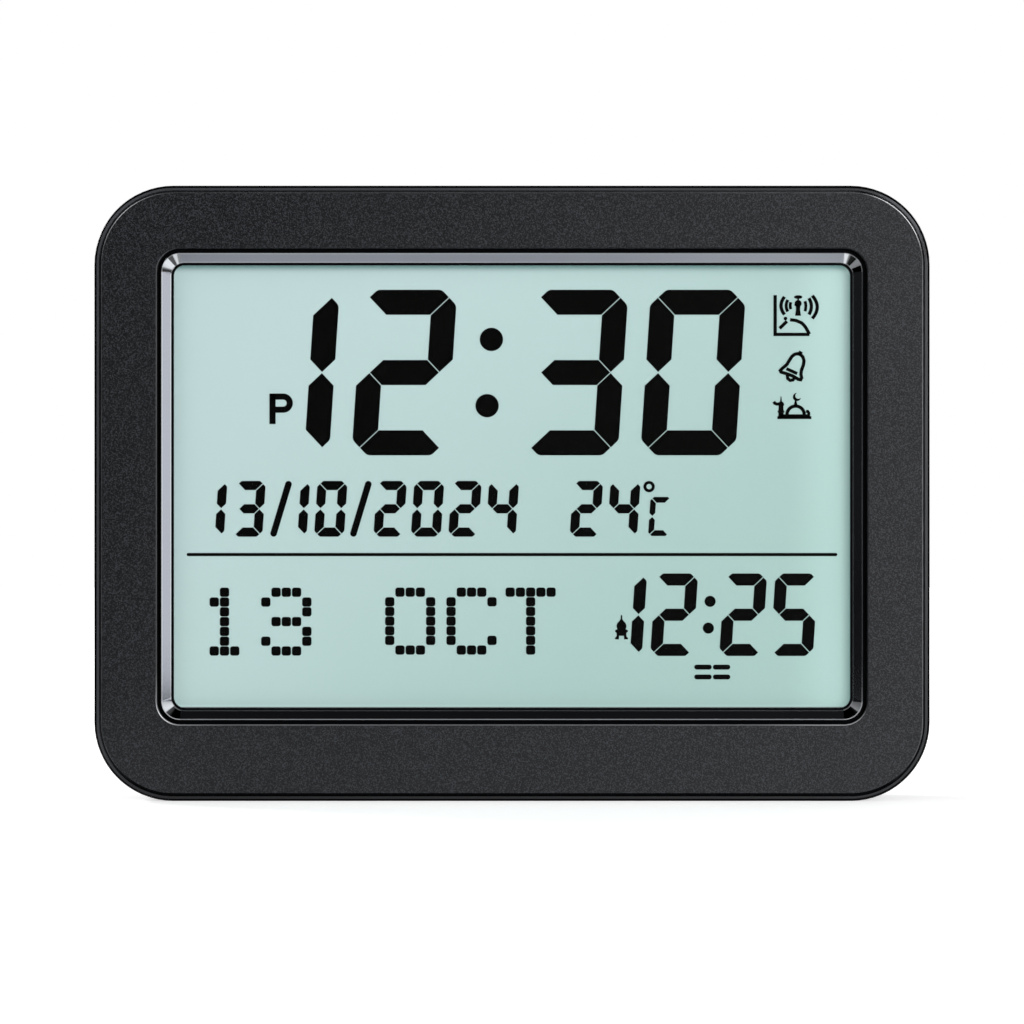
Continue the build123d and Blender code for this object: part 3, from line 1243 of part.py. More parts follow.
def key_pcb():
    z = (KEY_BOSS_ROWS[0] + KEY_BOSS_ROWS[1]) / 2
    front = KEY_BOARD_BACK_Y - KEY_BOARD_THICKNESS
    board = plate(KEY_BOARD_WIDTH, KEY_BOARD_HEIGHT, z, BOARD_RADIUS, front, KEY_BOARD_BACK_Y, KEY_X)
    for row in KEY_BOSS_ROWS:
        board -= disc(KEY_X, row, SMALL_SHANK + 2 * SCREW_HOLE_CLEARANCE, front, KEY_BOARD_BACK_Y)
    return board


def key_pcb_screws():
    seat = KEY_BOARD_BACK_Y - KEY_BOARD_THICKNESS
    length = KEY_BOARD_THICKNESS + KEY_BORE_DEPTH - SCREW_TIP_GAP
    small = (SMALL_SHANK, SMALL_HEAD, SMALL_HEAD_HEIGHT)
    return group(inward_screw(KEY_X, z, seat, length, *small) for z in KEY_BOSS_ROWS)


# ---- Battery door, cells and contacts -----------------------------------------------------------------------------------------------------------------
def battery_door():
    """Lift-off door with two hooks along its lower edge and a sprung latch at its top."""
    width = BAY_WIDTH - 2 * DOOR_CLEARANCE
    height = BAY_HEIGHT - 2 * DOOR_CLEARANCE
    door = plate(width, height, BAY_Z, DOOR_RADIUS, DOOR_INNER_Y, BACK_Y)
    door = fillet(edges_at_depth(door, BACK_Y), DOOR_CLEARANCE)
    top = BAY_TOP - DOOR_CLEARANCE
    for side in (1, -1):
        slit = Rectangle(LATCH_SLIT, LATCH_LENGTH)
        x = side * (LATCH_WIDTH + LATCH_SLIT) / 2
        door -= slab(Pos(x, top - LATCH_LENGTH / 2) * slit, DOOR_INNER_Y, BACK_Y)
    for index in range(3):
        groove = SlotOverall(LATCH_WIDTH - 4 * LATCH_SLIT, LATCH_SLIT)
        z = top - LATCH_LENGTH * (index + 1) / 4
        door -= slab(Pos(0, z) * groove, BACK_Y - LATCH_RIDGE / 2, BACK_Y)
    hook_back = BACK_Y - CASE_WALL - HOOK_UNDER_WALL
    hook_front = hook_back - HOOK_THICKNESS
    for side in (1, -1):
        post = Rectangle(HOOK_WIDTH, HOOK_POST)
        post_z = BAY_BOTTOM + DOOR_CLEARANCE + HOOK_POST / 2
        door += slab(Pos(side * HOOK_X, post_z) * post, hook_front, DOOR_INNER_Y)
        toe = Rectangle(HOOK_WIDTH, HOOK_LENGTH + DOOR_CLEARANCE)
        toe_z = BAY_BOTTOM + (DOOR_CLEARANCE - HOOK_LENGTH) / 2
        door += slab(Pos(side * HOOK_X, toe_z) * toe, hook_front, hook_back)
    return door


def battery_cell(row, flip):
    """Cylindrical cell lying along X, its nub at +X unless it is turned round."""
    radius = BATTERY_DIAMETER / 2
    nub = BATTERY_NUB_DIAMETER / 2
    half = BATTERY_LENGTH / 2
    edge = radius / 12
    profile = Polygon(
        (-half, 0),
        (-half, radius - edge),
        (edge - half, radius),
        (half - BATTERY_NUB_LENGTH - edge, radius),
        (half - BATTERY_NUB_LENGTH, radius - edge),
        (half - BATTERY_NUB_LENGTH, nub),
        (half, nub),
        (half, 0),
        align=None,
    )
    cell = revolve(profile, Axis.X)
    turn = 180 if flip else 0
    return Pos(0, BATTERY_Y, BATTERY_ROWS[row]) * Rot(0, 0, turn) * cell


def contact_finger(side, z):
    """Bowed leaf from the plate on the bay's end wall to the end of a cell."""
    skin = CONTACT_THICKNESS
    foot = BAY_INNER_WIDTH / 2 - skin
    tip = BATTERY_LENGTH / 2 + CONTACT_TOUCH_GAP
    half = CONTACT_WIDTH / 2
    leaf = Polygon(
        (foot, -half),
        (foot, skin - half),
        (tip + skin, 0),
        (tip + skin, half / 2),
        (foot - skin, half - skin),
        (foot - 2 * skin, half - skin),
        (tip, half / 2),
        (tip, -skin / 2),
        (foot - skin, -half),
        align=None,
    )
    blade = Pos(0, BATTERY_Y, z - CONTACT_STRIP / 2) * extrude(leaf, CONTACT_STRIP, dir=(0, 0, 1))
    return blade if side > 0 else mirror(blade, Plane.YZ)


def contact_plate(side, rows):
    """Sprung contact on one end wall that serves the cells in the given rows."""
    low = min(BATTERY_ROWS[row] for row in rows)
    high = max(BATTERY_ROWS[row] for row in rows)
    x = side * (BAY_INNER_WIDTH / 2 - CONTACT_THICKNESS / 2)
    back = Pos(x, BATTERY_Y, (low + high) / 2) * Box(
        CONTACT_THICKNESS, CONTACT_WIDTH, high - low + CONTACT_WIDTH
    )
    for row in rows:
        back += contact_finger(side, BATTERY_ROWS[row])
    return back


def battery_terminal(side, row):
    """End contact with its solder tab."""
    return contact_plate(side, [row]) + terminal_tab(side, row)


# ---- Leads --------------------------------------------------------------------------------------------------------------------------------------------------
def lead(points):
    """Round insulated wire of straight runs joined by arcs."""
    path = FilletPolyline(*points, radius=LEAD_BEND)
    return sweep(Plane(origin=path @ 0, z_dir=path % 0) * Circle(LEAD_DIAMETER / 2), path=path)


def battery_leads():
    """Two wires from the bay's solder tabs down to the main board."""
    wires = []
    for side, row in TERMINALS:
        run_x = side * (TAB_END_X + LEAD_STANDOFF)
        wires.append(
            lead(
                [
                    (side * TAB_END_X, TAB_Y, BATTERY_ROWS[row]),
                    (run_x, TAB_Y, BATTERY_ROWS[row]),
                    (run_x, TAB_Y, LEAD_END_Z),
                    (run_x, BOARD_BACK_Y, LEAD_END_Z),
                ]
            )
        )
    return group(wires)


def speaker_leads():
    """Two wires from the speaker's tag down to the main board."""
    wires = []
    for offset in spread(2, TAG_LEAD_SPACING):
        x = SPEAKER_X + offset
        wires.append(
            lead(
                [
                    (x, TAG_Y, SPEAKER_Z - TAG_REACH),
                    (x, TAG_Y, LEAD_END_Z),
                    (x, BOARD_BACK_Y, LEAD_END_Z),
                ]
            )
        )
    return group(wires)


def key_ribbon():
    """Flat cable from the key board forward and down to the main board."""
    front = KEY_BOARD_BACK_Y - KEY_BOARD_THICKNESS
    middle = (front + BOARD_BACK_Y) / 2
    high = BOARD_TOP + RIBBON_TOP
    low = BOARD_TOP - RIBBON_FOOT
    path = FilletPolyline(
        (front, high), (middle, high), (middle, low), (BOARD_BACK_Y, low), radius=RIBBON_BEND
    )
    strip = Plane.YZ.offset(KEY_X - RIBBON_WIDTH / 2) * trace(path, RIBBON_THICKNESS)
    return extrude(strip, RIBBON_WIDTH, dir=(1, 0, 0))


# ---- Folding stand ----------------------------------------------------------------------------------------------------------------------------------------
def hinge_bar(diameter, length):
    """Round bar on the stand's hinge line."""
    return Pos(0, HINGE_Y, HINGE_Z) * Rot(0, 90, 0) * Cylinder(diameter / 2, length)


def leg_lightening():
    """Pockets in the leg's inner side, between its edge walls, cross ribs and spine."""
    inner_y = HINGE_Y - LEG_BARREL_RADIUS
    bottom = LEG_TIP_HEIGHT + LEG_RIB
    top = HINGE_Z - LEG_BARREL_RADIUS - LEG_RIB
    spine = Pos(0, (top + bottom) / 2) * Rectangle(LEG_RIB, top - bottom)
    pockets = leg_outline(-LEG_RIB, top, bottom) - spine
    for rise in spread(int((top - bottom) / LEG_RIB_PITCH), LEG_RIB_PITCH):
        pockets -= Pos(0, (top + bottom) / 2 + rise) * Rectangle(LEG_WIDTH_TOP, LEG_RIB)
    return slab(pockets, inner_y, BACK_Y - LEG_SKIN)


def stand_leg():
    """Ribbed leg with a hinge barrel, two trunnions and a heel that stops it."""
    leg = slab(leg_outline(0.0, HINGE_Z, LEG_TIP_HEIGHT), HINGE_Y - LEG_BARREL_RADIUS, BACK_Y)
    leg = fillet(leg.edges().filter_by(Axis.Y).group_by(Axis.Z)[0], LEG_TIP_RADIUS)
    leg = fillet(edges_at_depth(leg, BACK_Y), LEG_EDGE_RADIUS)
    leg -= leg_lightening()
    leg += hinge_bar(2 * LEG_BARREL_RADIUS, LEG_WIDTH_TOP)
    leg += hinge_bar(TRUNNION_DIAMETER, LEG_WIDTH_TOP + 2 * TRUNNION_LENGTH)
    heel = Pos(0, HINGE_Z + LEG_HEEL_RISE / 2) * Rectangle(LEG_WIDTH_TOP - 2 * LEG_RIB, LEG_HEEL_RISE)
    leg += slab(heel, HINGE_Y - LEG_HEEL_FRONT, HINGE_Y + LEG_HEEL_FRONT)
    return leg - stand_foot_pad()


def stand_foot_pad():
    """Rubber pad glued in a seat near the leg's tip, flush with its skin."""
    z = LEG_TIP_HEIGHT + LEG_RIB + PAD_HEIGHT / 2
    return plate(PAD_WIDTH, PAD_HEIGHT, z, PAD_HEIGHT / 4, BACK_Y - PAD_SINK, BACK_Y)


# ---- Nodes -----------------------------------------------------------------------------------------------------------------------------------------------------
def build_nodes():
    """Every sub-part by node name."""
    nodes = {
        "front_frame": front_frame(),
        "window_trim": window_trim(),
        "window_lens": window_lens(),
        "front_polariser": front_polariser(),
        "lcd_front_glass": lcd_front_glass(),
        "lcd_segments": lcd_segments(),
        "lcd_seal": lcd_seal(),
        "lcd_rear_glass": lcd_rear_glass(),
        "lcd_reflector": lcd_reflector(),
        "light_guide": light_guide(),
        "backlight_strip": backlight_strip(),
        "backlight_leds": backlight_leds(),
        "lcd_holder": lcd_holder(),
        "zebra_strip": zebra_strip(),
        "main_pcb": main_pcb(),
        "controller_chip": controller_chip(),
        "quartz_crystal": quartz_crystal(),
        "capacitors": capacitors(),
        "thermistor": thermistor(),
        "holder_screws": holder_screws(),
        "pcb_screws": pcb_screws(),
        "rear_cover": rear_cover(),
        "case_screws": case_screws(),
        "speaker_frame": speaker_frame(),
        "speaker_cone": speaker_cone(),
        "speaker_magnet": speaker_magnet(),
        "speaker_screws": speaker_screws(),
        "key_switches": key_switches(),
        "key_pcb": key_pcb(),
        "key_pcb_screws": key_pcb_screws(),
        "battery_door": battery_door(),
        "battery_cell_lower": battery_cell(0, False),
        "battery_cell_middle": battery_cell(1, True),
        "battery_cell_upper": battery_cell(2, False),
        "battery_terminal_negative": battery_terminal(*TERMINALS[0]),
        "battery_bridge_right": contact_plate(1, [0, 1]),
        "battery_bridge_left": contact_plate(-1, [1, 2]),
        "battery_terminal_positive": battery_terminal(*TERMINALS[1]),
        "battery_leads": battery_leads(),
        "speaker_leads": speaker_leads(),
        "key_ribbon": key_ribbon(),
        "stand_leg": stand_leg(),
        "stand_foot_pad": stand_foot_pad(),
    }
    for name, z in zip(KEY_NAMES, reversed(KEY_ROWS)):
        nodes[name + "_key"] = key_cap(z)
        nodes[name + "_plunger"] = key_plunger(z)
    return nodes


os.makedirs("parts", exist_ok=True)
for node_name, shape in build_nodes().items():
    export_step(shape, "parts/" + node_name + ".step")
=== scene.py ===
"""Looks of a flat black prayer-time clock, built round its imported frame."""

import logging
import math
from collections.abc import Callable, Iterable
from dataclasses import dataclass, field
from enum import Enum

import bpy
from mathutils import Matrix, Vector


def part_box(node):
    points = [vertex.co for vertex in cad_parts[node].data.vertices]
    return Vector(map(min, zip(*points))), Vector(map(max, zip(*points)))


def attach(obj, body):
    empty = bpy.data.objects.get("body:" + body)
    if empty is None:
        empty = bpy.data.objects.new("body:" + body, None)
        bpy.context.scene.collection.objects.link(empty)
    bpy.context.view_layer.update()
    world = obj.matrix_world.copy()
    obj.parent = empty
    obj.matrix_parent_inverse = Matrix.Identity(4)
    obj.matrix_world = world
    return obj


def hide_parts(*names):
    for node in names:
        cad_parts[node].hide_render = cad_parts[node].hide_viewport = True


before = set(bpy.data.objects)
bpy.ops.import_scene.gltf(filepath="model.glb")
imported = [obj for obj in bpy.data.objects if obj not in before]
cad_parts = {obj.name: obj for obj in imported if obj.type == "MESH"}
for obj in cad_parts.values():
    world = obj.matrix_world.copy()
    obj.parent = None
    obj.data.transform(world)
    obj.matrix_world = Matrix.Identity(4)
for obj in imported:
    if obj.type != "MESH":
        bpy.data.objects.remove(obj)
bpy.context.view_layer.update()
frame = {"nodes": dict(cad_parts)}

LOG = logging.getLogger("clock")
MM = 0.001
Colour = tuple[float, float, float]
Axes = tuple[float, float, float]
Point = tuple[float, float]
BLACK = (0.0, 0.0, 0.0)
WHITE = (1.0, 1.0, 1.0)
WARM_WHITE = (1.0, 0.99, 0.98)
COOL_WHITE = (0.98, 0.99, 1.0)


# ---- Sizes that several pieces and finishes share, in millimetres ----------------------------
@dataclass(frozen=True)
class RoundedFrame:
    """Rounded rectangle in the X-Z plane."""

    middle: Point
    half: Point
    radius: float


FACE_Y_MM = -17.0
BACK_Y_MM = 17.0
EYE_HEIGHT_MM = 103.8
WINDOW_MIDDLE = (0.0, 112.95)
CASE_OUTLINE = RoundedFrame((0.0, 110.5), (150.0, 110.5), 28.4)
WINDOW = RoundedFrame(WINDOW_MIDDLE, (127.45, 85.4), 8.3)
THROAT = RoundedFrame(WINDOW_MIDDLE, (122.45, 80.4), 4.7)


def toned(colour: Colour, factor: float) -> Colour:
    """A colour made darker or lighter."""
    return tuple(min(channel * factor, 1.0) for channel in colour)


# ---- Materials: sockets as Python values ---------------------------------------------------
class Signal:
    """A node's output socket that takes part in Python expressions."""

    def __init__(self, recipe: "Recipe", socket: bpy.types.NodeSocket) -> None:
        """Wraps an output socket of a recipe's tree."""
        self.recipe = recipe
        self.socket = socket

    def math(self, operation: str, *others: "Signal | float", swapped: bool = False) -> "Signal":
        """Adds a Math node.

        Args:
            operation: The Math node's operation.
            others: The other operands.
            swapped: Whether this signal is the second operand.

        Returns:
            The node's result.
        """
        operands = [self, *others]
        if swapped:
            operands.reverse()
        return self.recipe.add("ShaderNodeMath", {"operation": operation}, dict(enumerate(operands)))

    def __add__(self, other: "Signal | float") -> "Signal":
        """Sum."""
        return self.math("ADD", other)

    __radd__ = __add__

    def __mul__(self, other: "Signal | float") -> "Signal":
        """Product."""
        return self.math("MULTIPLY", other)

    __rmul__ = __mul__

    def __sub__(self, other: "Signal | float") -> "Signal":
        """Difference."""
        return self.math("SUBTRACT", other)

    def __rsub__(self, other: float) -> "Signal":
        """Reflected difference."""
        return self.math("SUBTRACT", other, swapped=True)

    def __truediv__(self, other: "Signal | float") -> "Signal":
        """Quotient."""
        return self.math("DIVIDE", other)

    def __pow__(self, other: "Signal | float") -> "Signal":
        """Power."""
        return self.math("POWER", other)

    def __abs__(self) -> "Signal":
        """Absolute value."""
        return self.math("ABSOLUTE")

    def at_least(self, other: "Signal | float") -> "Signal":
        """The larger of two values."""
        return self.math("MAXIMUM", other)

    def at_most(self, other: "Signal | float") -> "Signal":
        """The smaller of two values."""
        return self.math("MINIMUM", other)

    def step(self, low: float, high: float) -> "Signal":
        """Smooth step.

        Args:
            low: Value at which the step is 0.
            high: Value at which the step is 1.

        Returns:
            A value from 0 to 1.
        """
        return self.recipe.add(
            "ShaderNodeMapRange",
            {"interpolation_type": "SMOOTHSTEP"},
            {"Value": self, "From Min": low, "From Max": high},
        )

    def fall(self, high: float, low: float) -> "Signal":
        """Smooth step down, from 1 at the first value to 0 at the second."""
        return 1.0 - self.step(high, low)

    def between(self, start: float, end: float, soft: float) -> "Signal":
        """1 in a band from start to end, whose soft edges lie inside it."""
        return self.step(start, start + soft) * self.fall(end - soft, end)

    def part(self, axis: int) -> "Signal":
        """One component of a vector, by its axis: 0, 1 or 2."""
        return self.recipe.add("ShaderNodeSeparateXYZ", None, {0: self}, axis)


class Recipe:
    """Writes one node tree."""

    def __init__(self, tree: bpy.types.NodeTree) -> None:
        """Starts from an empty tree."""
        self.tree = tree
        tree.nodes.clear()

    def add(
        self,
        kind: str,
        settings: dict[str, object] | None = None,
        values: dict[int | str, object] | None = None,
        output: int | str = 0,
    ) -> Signal:
        """Adds one node.

        Args:
            kind: The node's type.
            settings: Its own settings, such as an operation or a ramp's stops, set first.
            values: Values or signals of its input sockets.
            output: Which output is wanted.

        Returns:
            The wanted output, or an empty signal from a node that has none.
        """
        node = self.tree.nodes.new(kind)
        for name, setting in (settings or {}).items():
            if name == "stops":
                self._set_stops(node, setting)
            else:
                setattr(node, name, setting)
        for name, value in (values or {}).items():
            if isinstance(value, Signal):
                self.tree.links.new(value.socket, node.inputs[name])
            else:
                node.inputs[name].default_value = value
        return Signal(self, node.outputs[output] if node.outputs else None)

    @staticmethod
    def _set_stops(node: bpy.types.Node, stops: list[tuple[float, float]]) -> None:
        """Gives a ramp its grey stops.

        Args:
            node: The ramp node.
            stops: Position and grey level of each stop.
        """
        elements = node.color_ramp.elements
        while len(elements) < len(stops):
            elements.new(1.0)
        for element, (position, level) in zip(elements, stops):
            element.position = position
            element.color = (level, level, level, 1.0)

    def place(self) -> Signal:
        """Object coordinates."""
        return self.add("ShaderNodeTexCoord", None, None, "Object")

    def from_middle(self, middle: Point) -> tuple[Signal, Signal]:
        """How far a place is to the right of a middle and above it, in millimetres."""
        place = self.place()
        return place.part(0) * (1 / MM) - middle[0], place.part(2) * (1 / MM) - middle[1]

    def ray(self, kind: str) -> Signal:
        """Whether the light path is of a kind, such as Camera or Glossy."""
        return self.add("ShaderNodeLightPath", None, None, f"Is {kind} Ray")

    def noise(self, size_mm: float, detail: float = 2.0, stretch: Axes | None = None) -> Signal:
        """Noise on Object coordinates.

        Args:
            size_mm: Size of a feature.
            detail: Octaves of finer noise.
            stretch: Scale along each axis.

        Returns:
            A value about 0.5.
        """
        vector = self.place()
        if stretch:
            vector = self.add("ShaderNodeMapping", None, {"Vector": vector, "Scale": stretch})
        values = {"Vector": vector, "Scale": 1.0 / (size_mm * MM), "Detail": detail}
        return self.add("ShaderNodeTexNoise", None, values)

    def specks(self, size_mm: float, scatter: float = 1.0) -> Signal:
        """Distance, in cells, to the nearest of scattered points; a scatter of 0 makes an even grid."""
        values = {"Vector": self.place(), "Scale": 1.0 / (size_mm * MM), "Randomness": scatter}
        return self.add("ShaderNodeTexVoronoi", None, values)

    def stripes(self, axis: str, scale: float, waver: float = 0.0, quickness: float = 1.0) -> Signal:
        """Soft stripes on Object coordinates.

        Args:
            axis: X or Z, the axis that they follow one another along.
            scale: How close together they are.
            waver: How far they waver.
            quickness: How soon they waver again.

        Returns:
            A value from 0 to 1 across each stripe.
        """
        values = {"Vector": self.place(), "Scale": scale, "Distortion": waver}
        values |= {"Detail": 0.0, "Detail Scale": quickness}
        return self.add("ShaderNodeTexWave", {"bands_direction": axis}, values)

    def mix(self, factor: Signal | float, first: object, second: object) -> Signal:
        """Mixes two colours or signals: a factor of 0 gives the first and 1 the second."""
        colours = [c if isinstance(c, Signal) else (*c, 1.0) for c in (first, second)]
        return self.add("ShaderNodeMix", {"data_type": "RGBA"}, {0: factor, 6: colours[0], 7: colours[1]}, 2)

    def grey(self, level: Signal) -> Signal:
        """A grey from black at 0 to white at 1."""
        return self.mix(level, BLACK, WHITE)

    def bump(self, height: Signal, depth_mm: float) -> Signal:
        """Normal from a height, where a height of 1 stands for the depth."""
        return self.add("ShaderNodeBump", None, {"Distance": depth_mm * MM, "Height": height})

    def rounded_frame(self, shape: RoundedFrame) -> Signal:
        """Distance to a rounded rectangle.

        Args:
            shape: The rectangle.

        Returns:
            Millimetres, less than 0 inside it.
        """
        across, up = self.from_middle(shape.middle)
        x = abs(across) - (shape.half[0] - shape.radius)
        z = abs(up) - (shape.half[1] - shape.radius)
        outside = (x.at_least(0.0) ** 2.0 + z.at_least(0.0) ** 2.0) ** 0.5
        return outside + x.at_least(z).at_most(0.0) - shape.radius

    def surface(self, values: dict[str, object]) -> None:
        """Adds the shader, with values or signals for its sockets, and the output."""
        shader = self.add("ShaderNodeBsdfPrincipled", None, values)
        self.add("ShaderNodeOutputMaterial", None, {"Surface": shader})


@dataclass(frozen=True)
class Finish:
    """What one surface is made of."""

    name: str

    def cook(self, recipe: Recipe) -> None:
        """Writes the finish's nodes; each kind of finish has its own."""
        raise NotImplementedError

    def material(self) -> bpy.types.Material:
        """The finish's material, made once.

        Returns:
            The material.
        """
        made = bpy.data.materials.get(self.name)
        if made is None:
            made = bpy.data.materials.new(self.name)
            made.use_nodes = True
            self.cook(Recipe(made.node_tree))
        return made

    def dress(self, *pieces: bpy.types.Object) -> None:
        """Gives pieces this finish.

        Args:
            pieces: Objects with a mesh.
        """
        for piece in pieces:
            if not piece.material_slots:
                piece.data.materials.append(None)
            for holder in piece.material_slots:
                holder.material = self.material()


@dataclass(frozen=True)
class GrainedPlastic(Finish):
    """Moulded plastic with a spark-eroded grain."""

    base: Colour = (0.0050, 0.0056, 0.0070)
    speck: Colour = (0.072, 0.077, 0.090)
    grain_mm: float = 0.42
    cloud_mm: float = 38.0
    depth_mm: float = 0.07
    roughness: float = 0.50
    gloss: float = 0.34
    speckled: float = 0.56
    glinting: float = 0.34

    def grain(self, recipe: Recipe) -> tuple[Signal, Signal, Signal]:
        """Writes the grain.

        Args:
            recipe: The tree's writer.

        Returns:
            Its colour, roughness and height.
        """
        grain = recipe.noise(self.grain_mm, 1.5)
        cloud = recipe.noise(self.cloud_mm, 2.0)
        spark = recipe.specks(self.grain_mm * 1.5).fall(0.10, 0.42)
        glint = spark * recipe.noise(self.grain_mm * 2.2, 1.0).step(0.46, 0.66)
        colour = recipe.mix(grain.step(0.42, 0.70) * self.speckled, self.base, self.speck)
        colour = recipe.mix(glint * self.glinting, colour, self.speck)
        rough = grain * 0.16 + cloud * 0.10 + (self.roughness - 0.13)
        return colour, rough, grain * 0.75 + spark * 0.35

    def cook(self, recipe: Recipe) -> None:
        """Writes the grain alone.

        Args:
            recipe: The tree's writer.
        """
        colour, rough, height = self.grain(recipe)
        values = {"Base Color": colour, "Roughness": rough, "Normal": recipe.bump(height, self.depth_mm)}
        recipe.surface(values | {"Specular IOR Level": self.gloss})


@dataclass(frozen=True)
class BezelPlastic(GrainedPlastic):
    """The grain of the bezel's face with a satin rim; painted highlights on the rim, the groove edge and the
    smoother window lip; and painted shade in the groove, along the outer edge and in the window's mouth.
    """

    outline: RoundedFrame = CASE_OUTLINE
    window: RoundedFrame = WINDOW
    front_depth_mm: float = 1.2
    hem_mm: float = 0.90
    rim_mm: float = 1.75
    edge_mm: Point = (2.42, 2.90)
    low_trough_mm: float = 0.60
    lip_mm: Point = (0.0, 0.26)
    lit_lip_mm: float = 0.22
    uneven_highlight_mm: float = 5.0
    satin: Colour = (0.0185, 0.0195, 0.0215)
    rim_highlight: Colour = (0.112, 0.118, 0.130)
    painted_shade_colour: Colour = (0.0030, 0.0032, 0.0036)
    painted_highlight: Colour = (0.92, 0.93, 0.95)
    rim_roughness: float = 0.34
    groove_roughness: float = 0.08

    def cook(self, recipe: Recipe) -> None:
        """Writes the grain, then the bands that follow the outline and the window, with their painted
        highlights and painted shade.

        Args:
            recipe: The tree's writer.
        """
        colour, rough, height = self.grain(recipe)
        right, low, corner = self.sides(recipe)
        inset = recipe.rounded_frame(self.outline) * -1.0
        rim, hem = self.rim_bands(recipe, inset)
        edge = inset.between(*self.edge_mm, 0.13)
        mouth, lip, lip_light = self.window_bands(recipe)
        # A noise makes the painted highlight on the groove edge uneven.
        uneven_highlight = recipe.noise(self.uneven_highlight_mm, 3.0).step(0.30, 0.60) * 0.35 + 0.65
        # Painted highlight on the groove edge: brightest in the upper corners, faint along the sides, none
        # along the bottom.
        edge_light = (1.0 - low) * (right * 0.06 + corner * (right * 0.90 + 0.70) + 0.06)
        # Painted highlight on the rim: lighter on the left and in the upper corners, none along the bottom.
        rim_light = (1.0 - low) * (corner * (right * 0.60 + 0.20) + (1.0 - right) * 0.38 + 0.04)
        # The near-white colour paints the highlights of the groove edge and the window lip.
        line = edge * edge_light * uneven_highlight + lip * lip_light
        smooth = rim.at_least(edge).at_least(lip)
        # Painted shade: the groove, the hem along the outer edge and the window's mouth turn black and
        # mirror-like.
        black = self.trough(inset, right, low, corner).at_least(hem).at_least(mouth)
        colour = recipe.mix(rim, colour, recipe.mix(rim_light, self.satin, self.rim_highlight))
        colour = recipe.mix(black, colour, self.painted_shade_colour)
        rough = rough * (1.0 - smooth) + smooth * self.rim_roughness
        recipe.surface(
            {
                "Base Color": recipe.mix(line, colour, self.painted_highlight),
                "Roughness": rough * (1.0 - black) + black * self.groove_roughness,
                "Metallic": black * (1.0 - line),
                "Normal": recipe.bump(height * (1.0 - smooth * 0.92), self.depth_mm),
                "Specular IOR Level": self.gloss,
            }
        )

    def rim_bands(self, recipe: Recipe, inset: Signal) -> tuple[Signal, Signal]:
        """The satin rim and the black hem outside it, painted shade where the edge turns away, on the frame's
        front edge only.

        Args:
            recipe: The tree's writer.
            inset: Millimetres in from the outline.

        Returns:
            1 on the rim, and 1 on the hem's painted shade.
        """
        behind = recipe.place().part(1) * (1 / MM) - FACE_Y_MM
        front = behind.fall(self.front_depth_mm - 0.25, self.front_depth_mm)
        rim = front * inset.fall(self.rim_mm - 0.1, self.rim_mm + 0.1)
        return rim, front * inset.fall(self.hem_mm - 0.15, self.hem_mm + 0.15)

    def trough(self, inset: Signal, right: Signal, low: Signal, corner: Signal) -> Signal:
        """Painted shade in the groove between the rim and its edge, widest and darkest along the bottom, dark
        on the right, faintest in the upper corners.

        Args:
            inset: Millimetres in from the outline.
            right: How far a place is to the right.
            low: How low it is.
            corner: Whether it is in an upper corner.

        Returns:
            How dark the groove's painted shade is.
        """
        end = low * self.low_trough_mm + self.edge_mm[0]
        band = inset.step(self.rim_mm - 0.05, self.rim_mm + 0.05) * (end - inset).step(0.0, 0.12)
        shade = low.at_least(right.step(0.75, 0.95) * 0.85).at_least(0.12)
        return band * (shade * (1.0 - corner * 0.8))

    def window_bands(self, recipe: Recipe) -> tuple[Signal, Signal, Signal]:
        """The black wall of the window's mouth, painted shade, and the smoother lip round it with its painted
        highlight.

        Args:
            recipe: The tree's writer.

        Returns:
            1 on the wall's painted shade, 1 on the lip, and how bright the lip's painted highlight is.
        """
        light = self.lip_light(recipe)
        beyond = recipe.rounded_frame(self.window)
        start, end = self.lip_mm
        fade = (light * self.lit_lip_mm + end - beyond).step(0.0, 0.1)
        return beyond.fall(start - 0.1, start), beyond.step(start, start + 0.1) * fade, light

    def lip_light(self, recipe: Recipe) -> Signal:
        """How bright the lip's painted highlight is: most at the lower left corner.

        Args:
            recipe: The tree's writer.

        Returns:
            A value from 0 to 1.
        """
        x, z = recipe.from_middle(self.window.middle)
        half_x, half_z = self.window.half
        left = x.fall(-half_x, self.window.radius - half_x)
        low = z.fall(-half_z, self.window.radius - half_z)
        near_left = x.fall(5.0 - half_x, 25.0 - half_x)
        near_low = z.fall(4.0 - half_z, 22.0 - half_z)
        side = left * (0.13 + near_low * 0.40)
        base = low * (0.30 + near_left * 0.18 + x.step(half_x - 45.0, half_x - 15.0) * 0.22)
        return side.at_least(base) + left * low * 0.75

    def sides(self, recipe: Recipe) -> tuple[Signal, Signal, Signal]:
        """Where on the bezel a place is.

        Args:
            recipe: The tree's writer.

        Returns:
            How far it is right, low, and in one of the upper corners.
        """
        x, z = recipe.from_middle(self.outline.middle)
        (half_x, half_z), radius = self.outline.half, self.outline.radius
        right = x.step(0.2 * half_x, 0.98 * half_x)
        low = z.fall(5.0 - half_z, 22.0 - half_z)
        turn_x = (abs(x) - (half_x - radius)) * (1 / radius)
        turn_z = (z - (half_z - radius)) * (1 / radius)
        return right, low, turn_x.step(0.1, 0.7) * turn_z.step(0.1, 0.7)


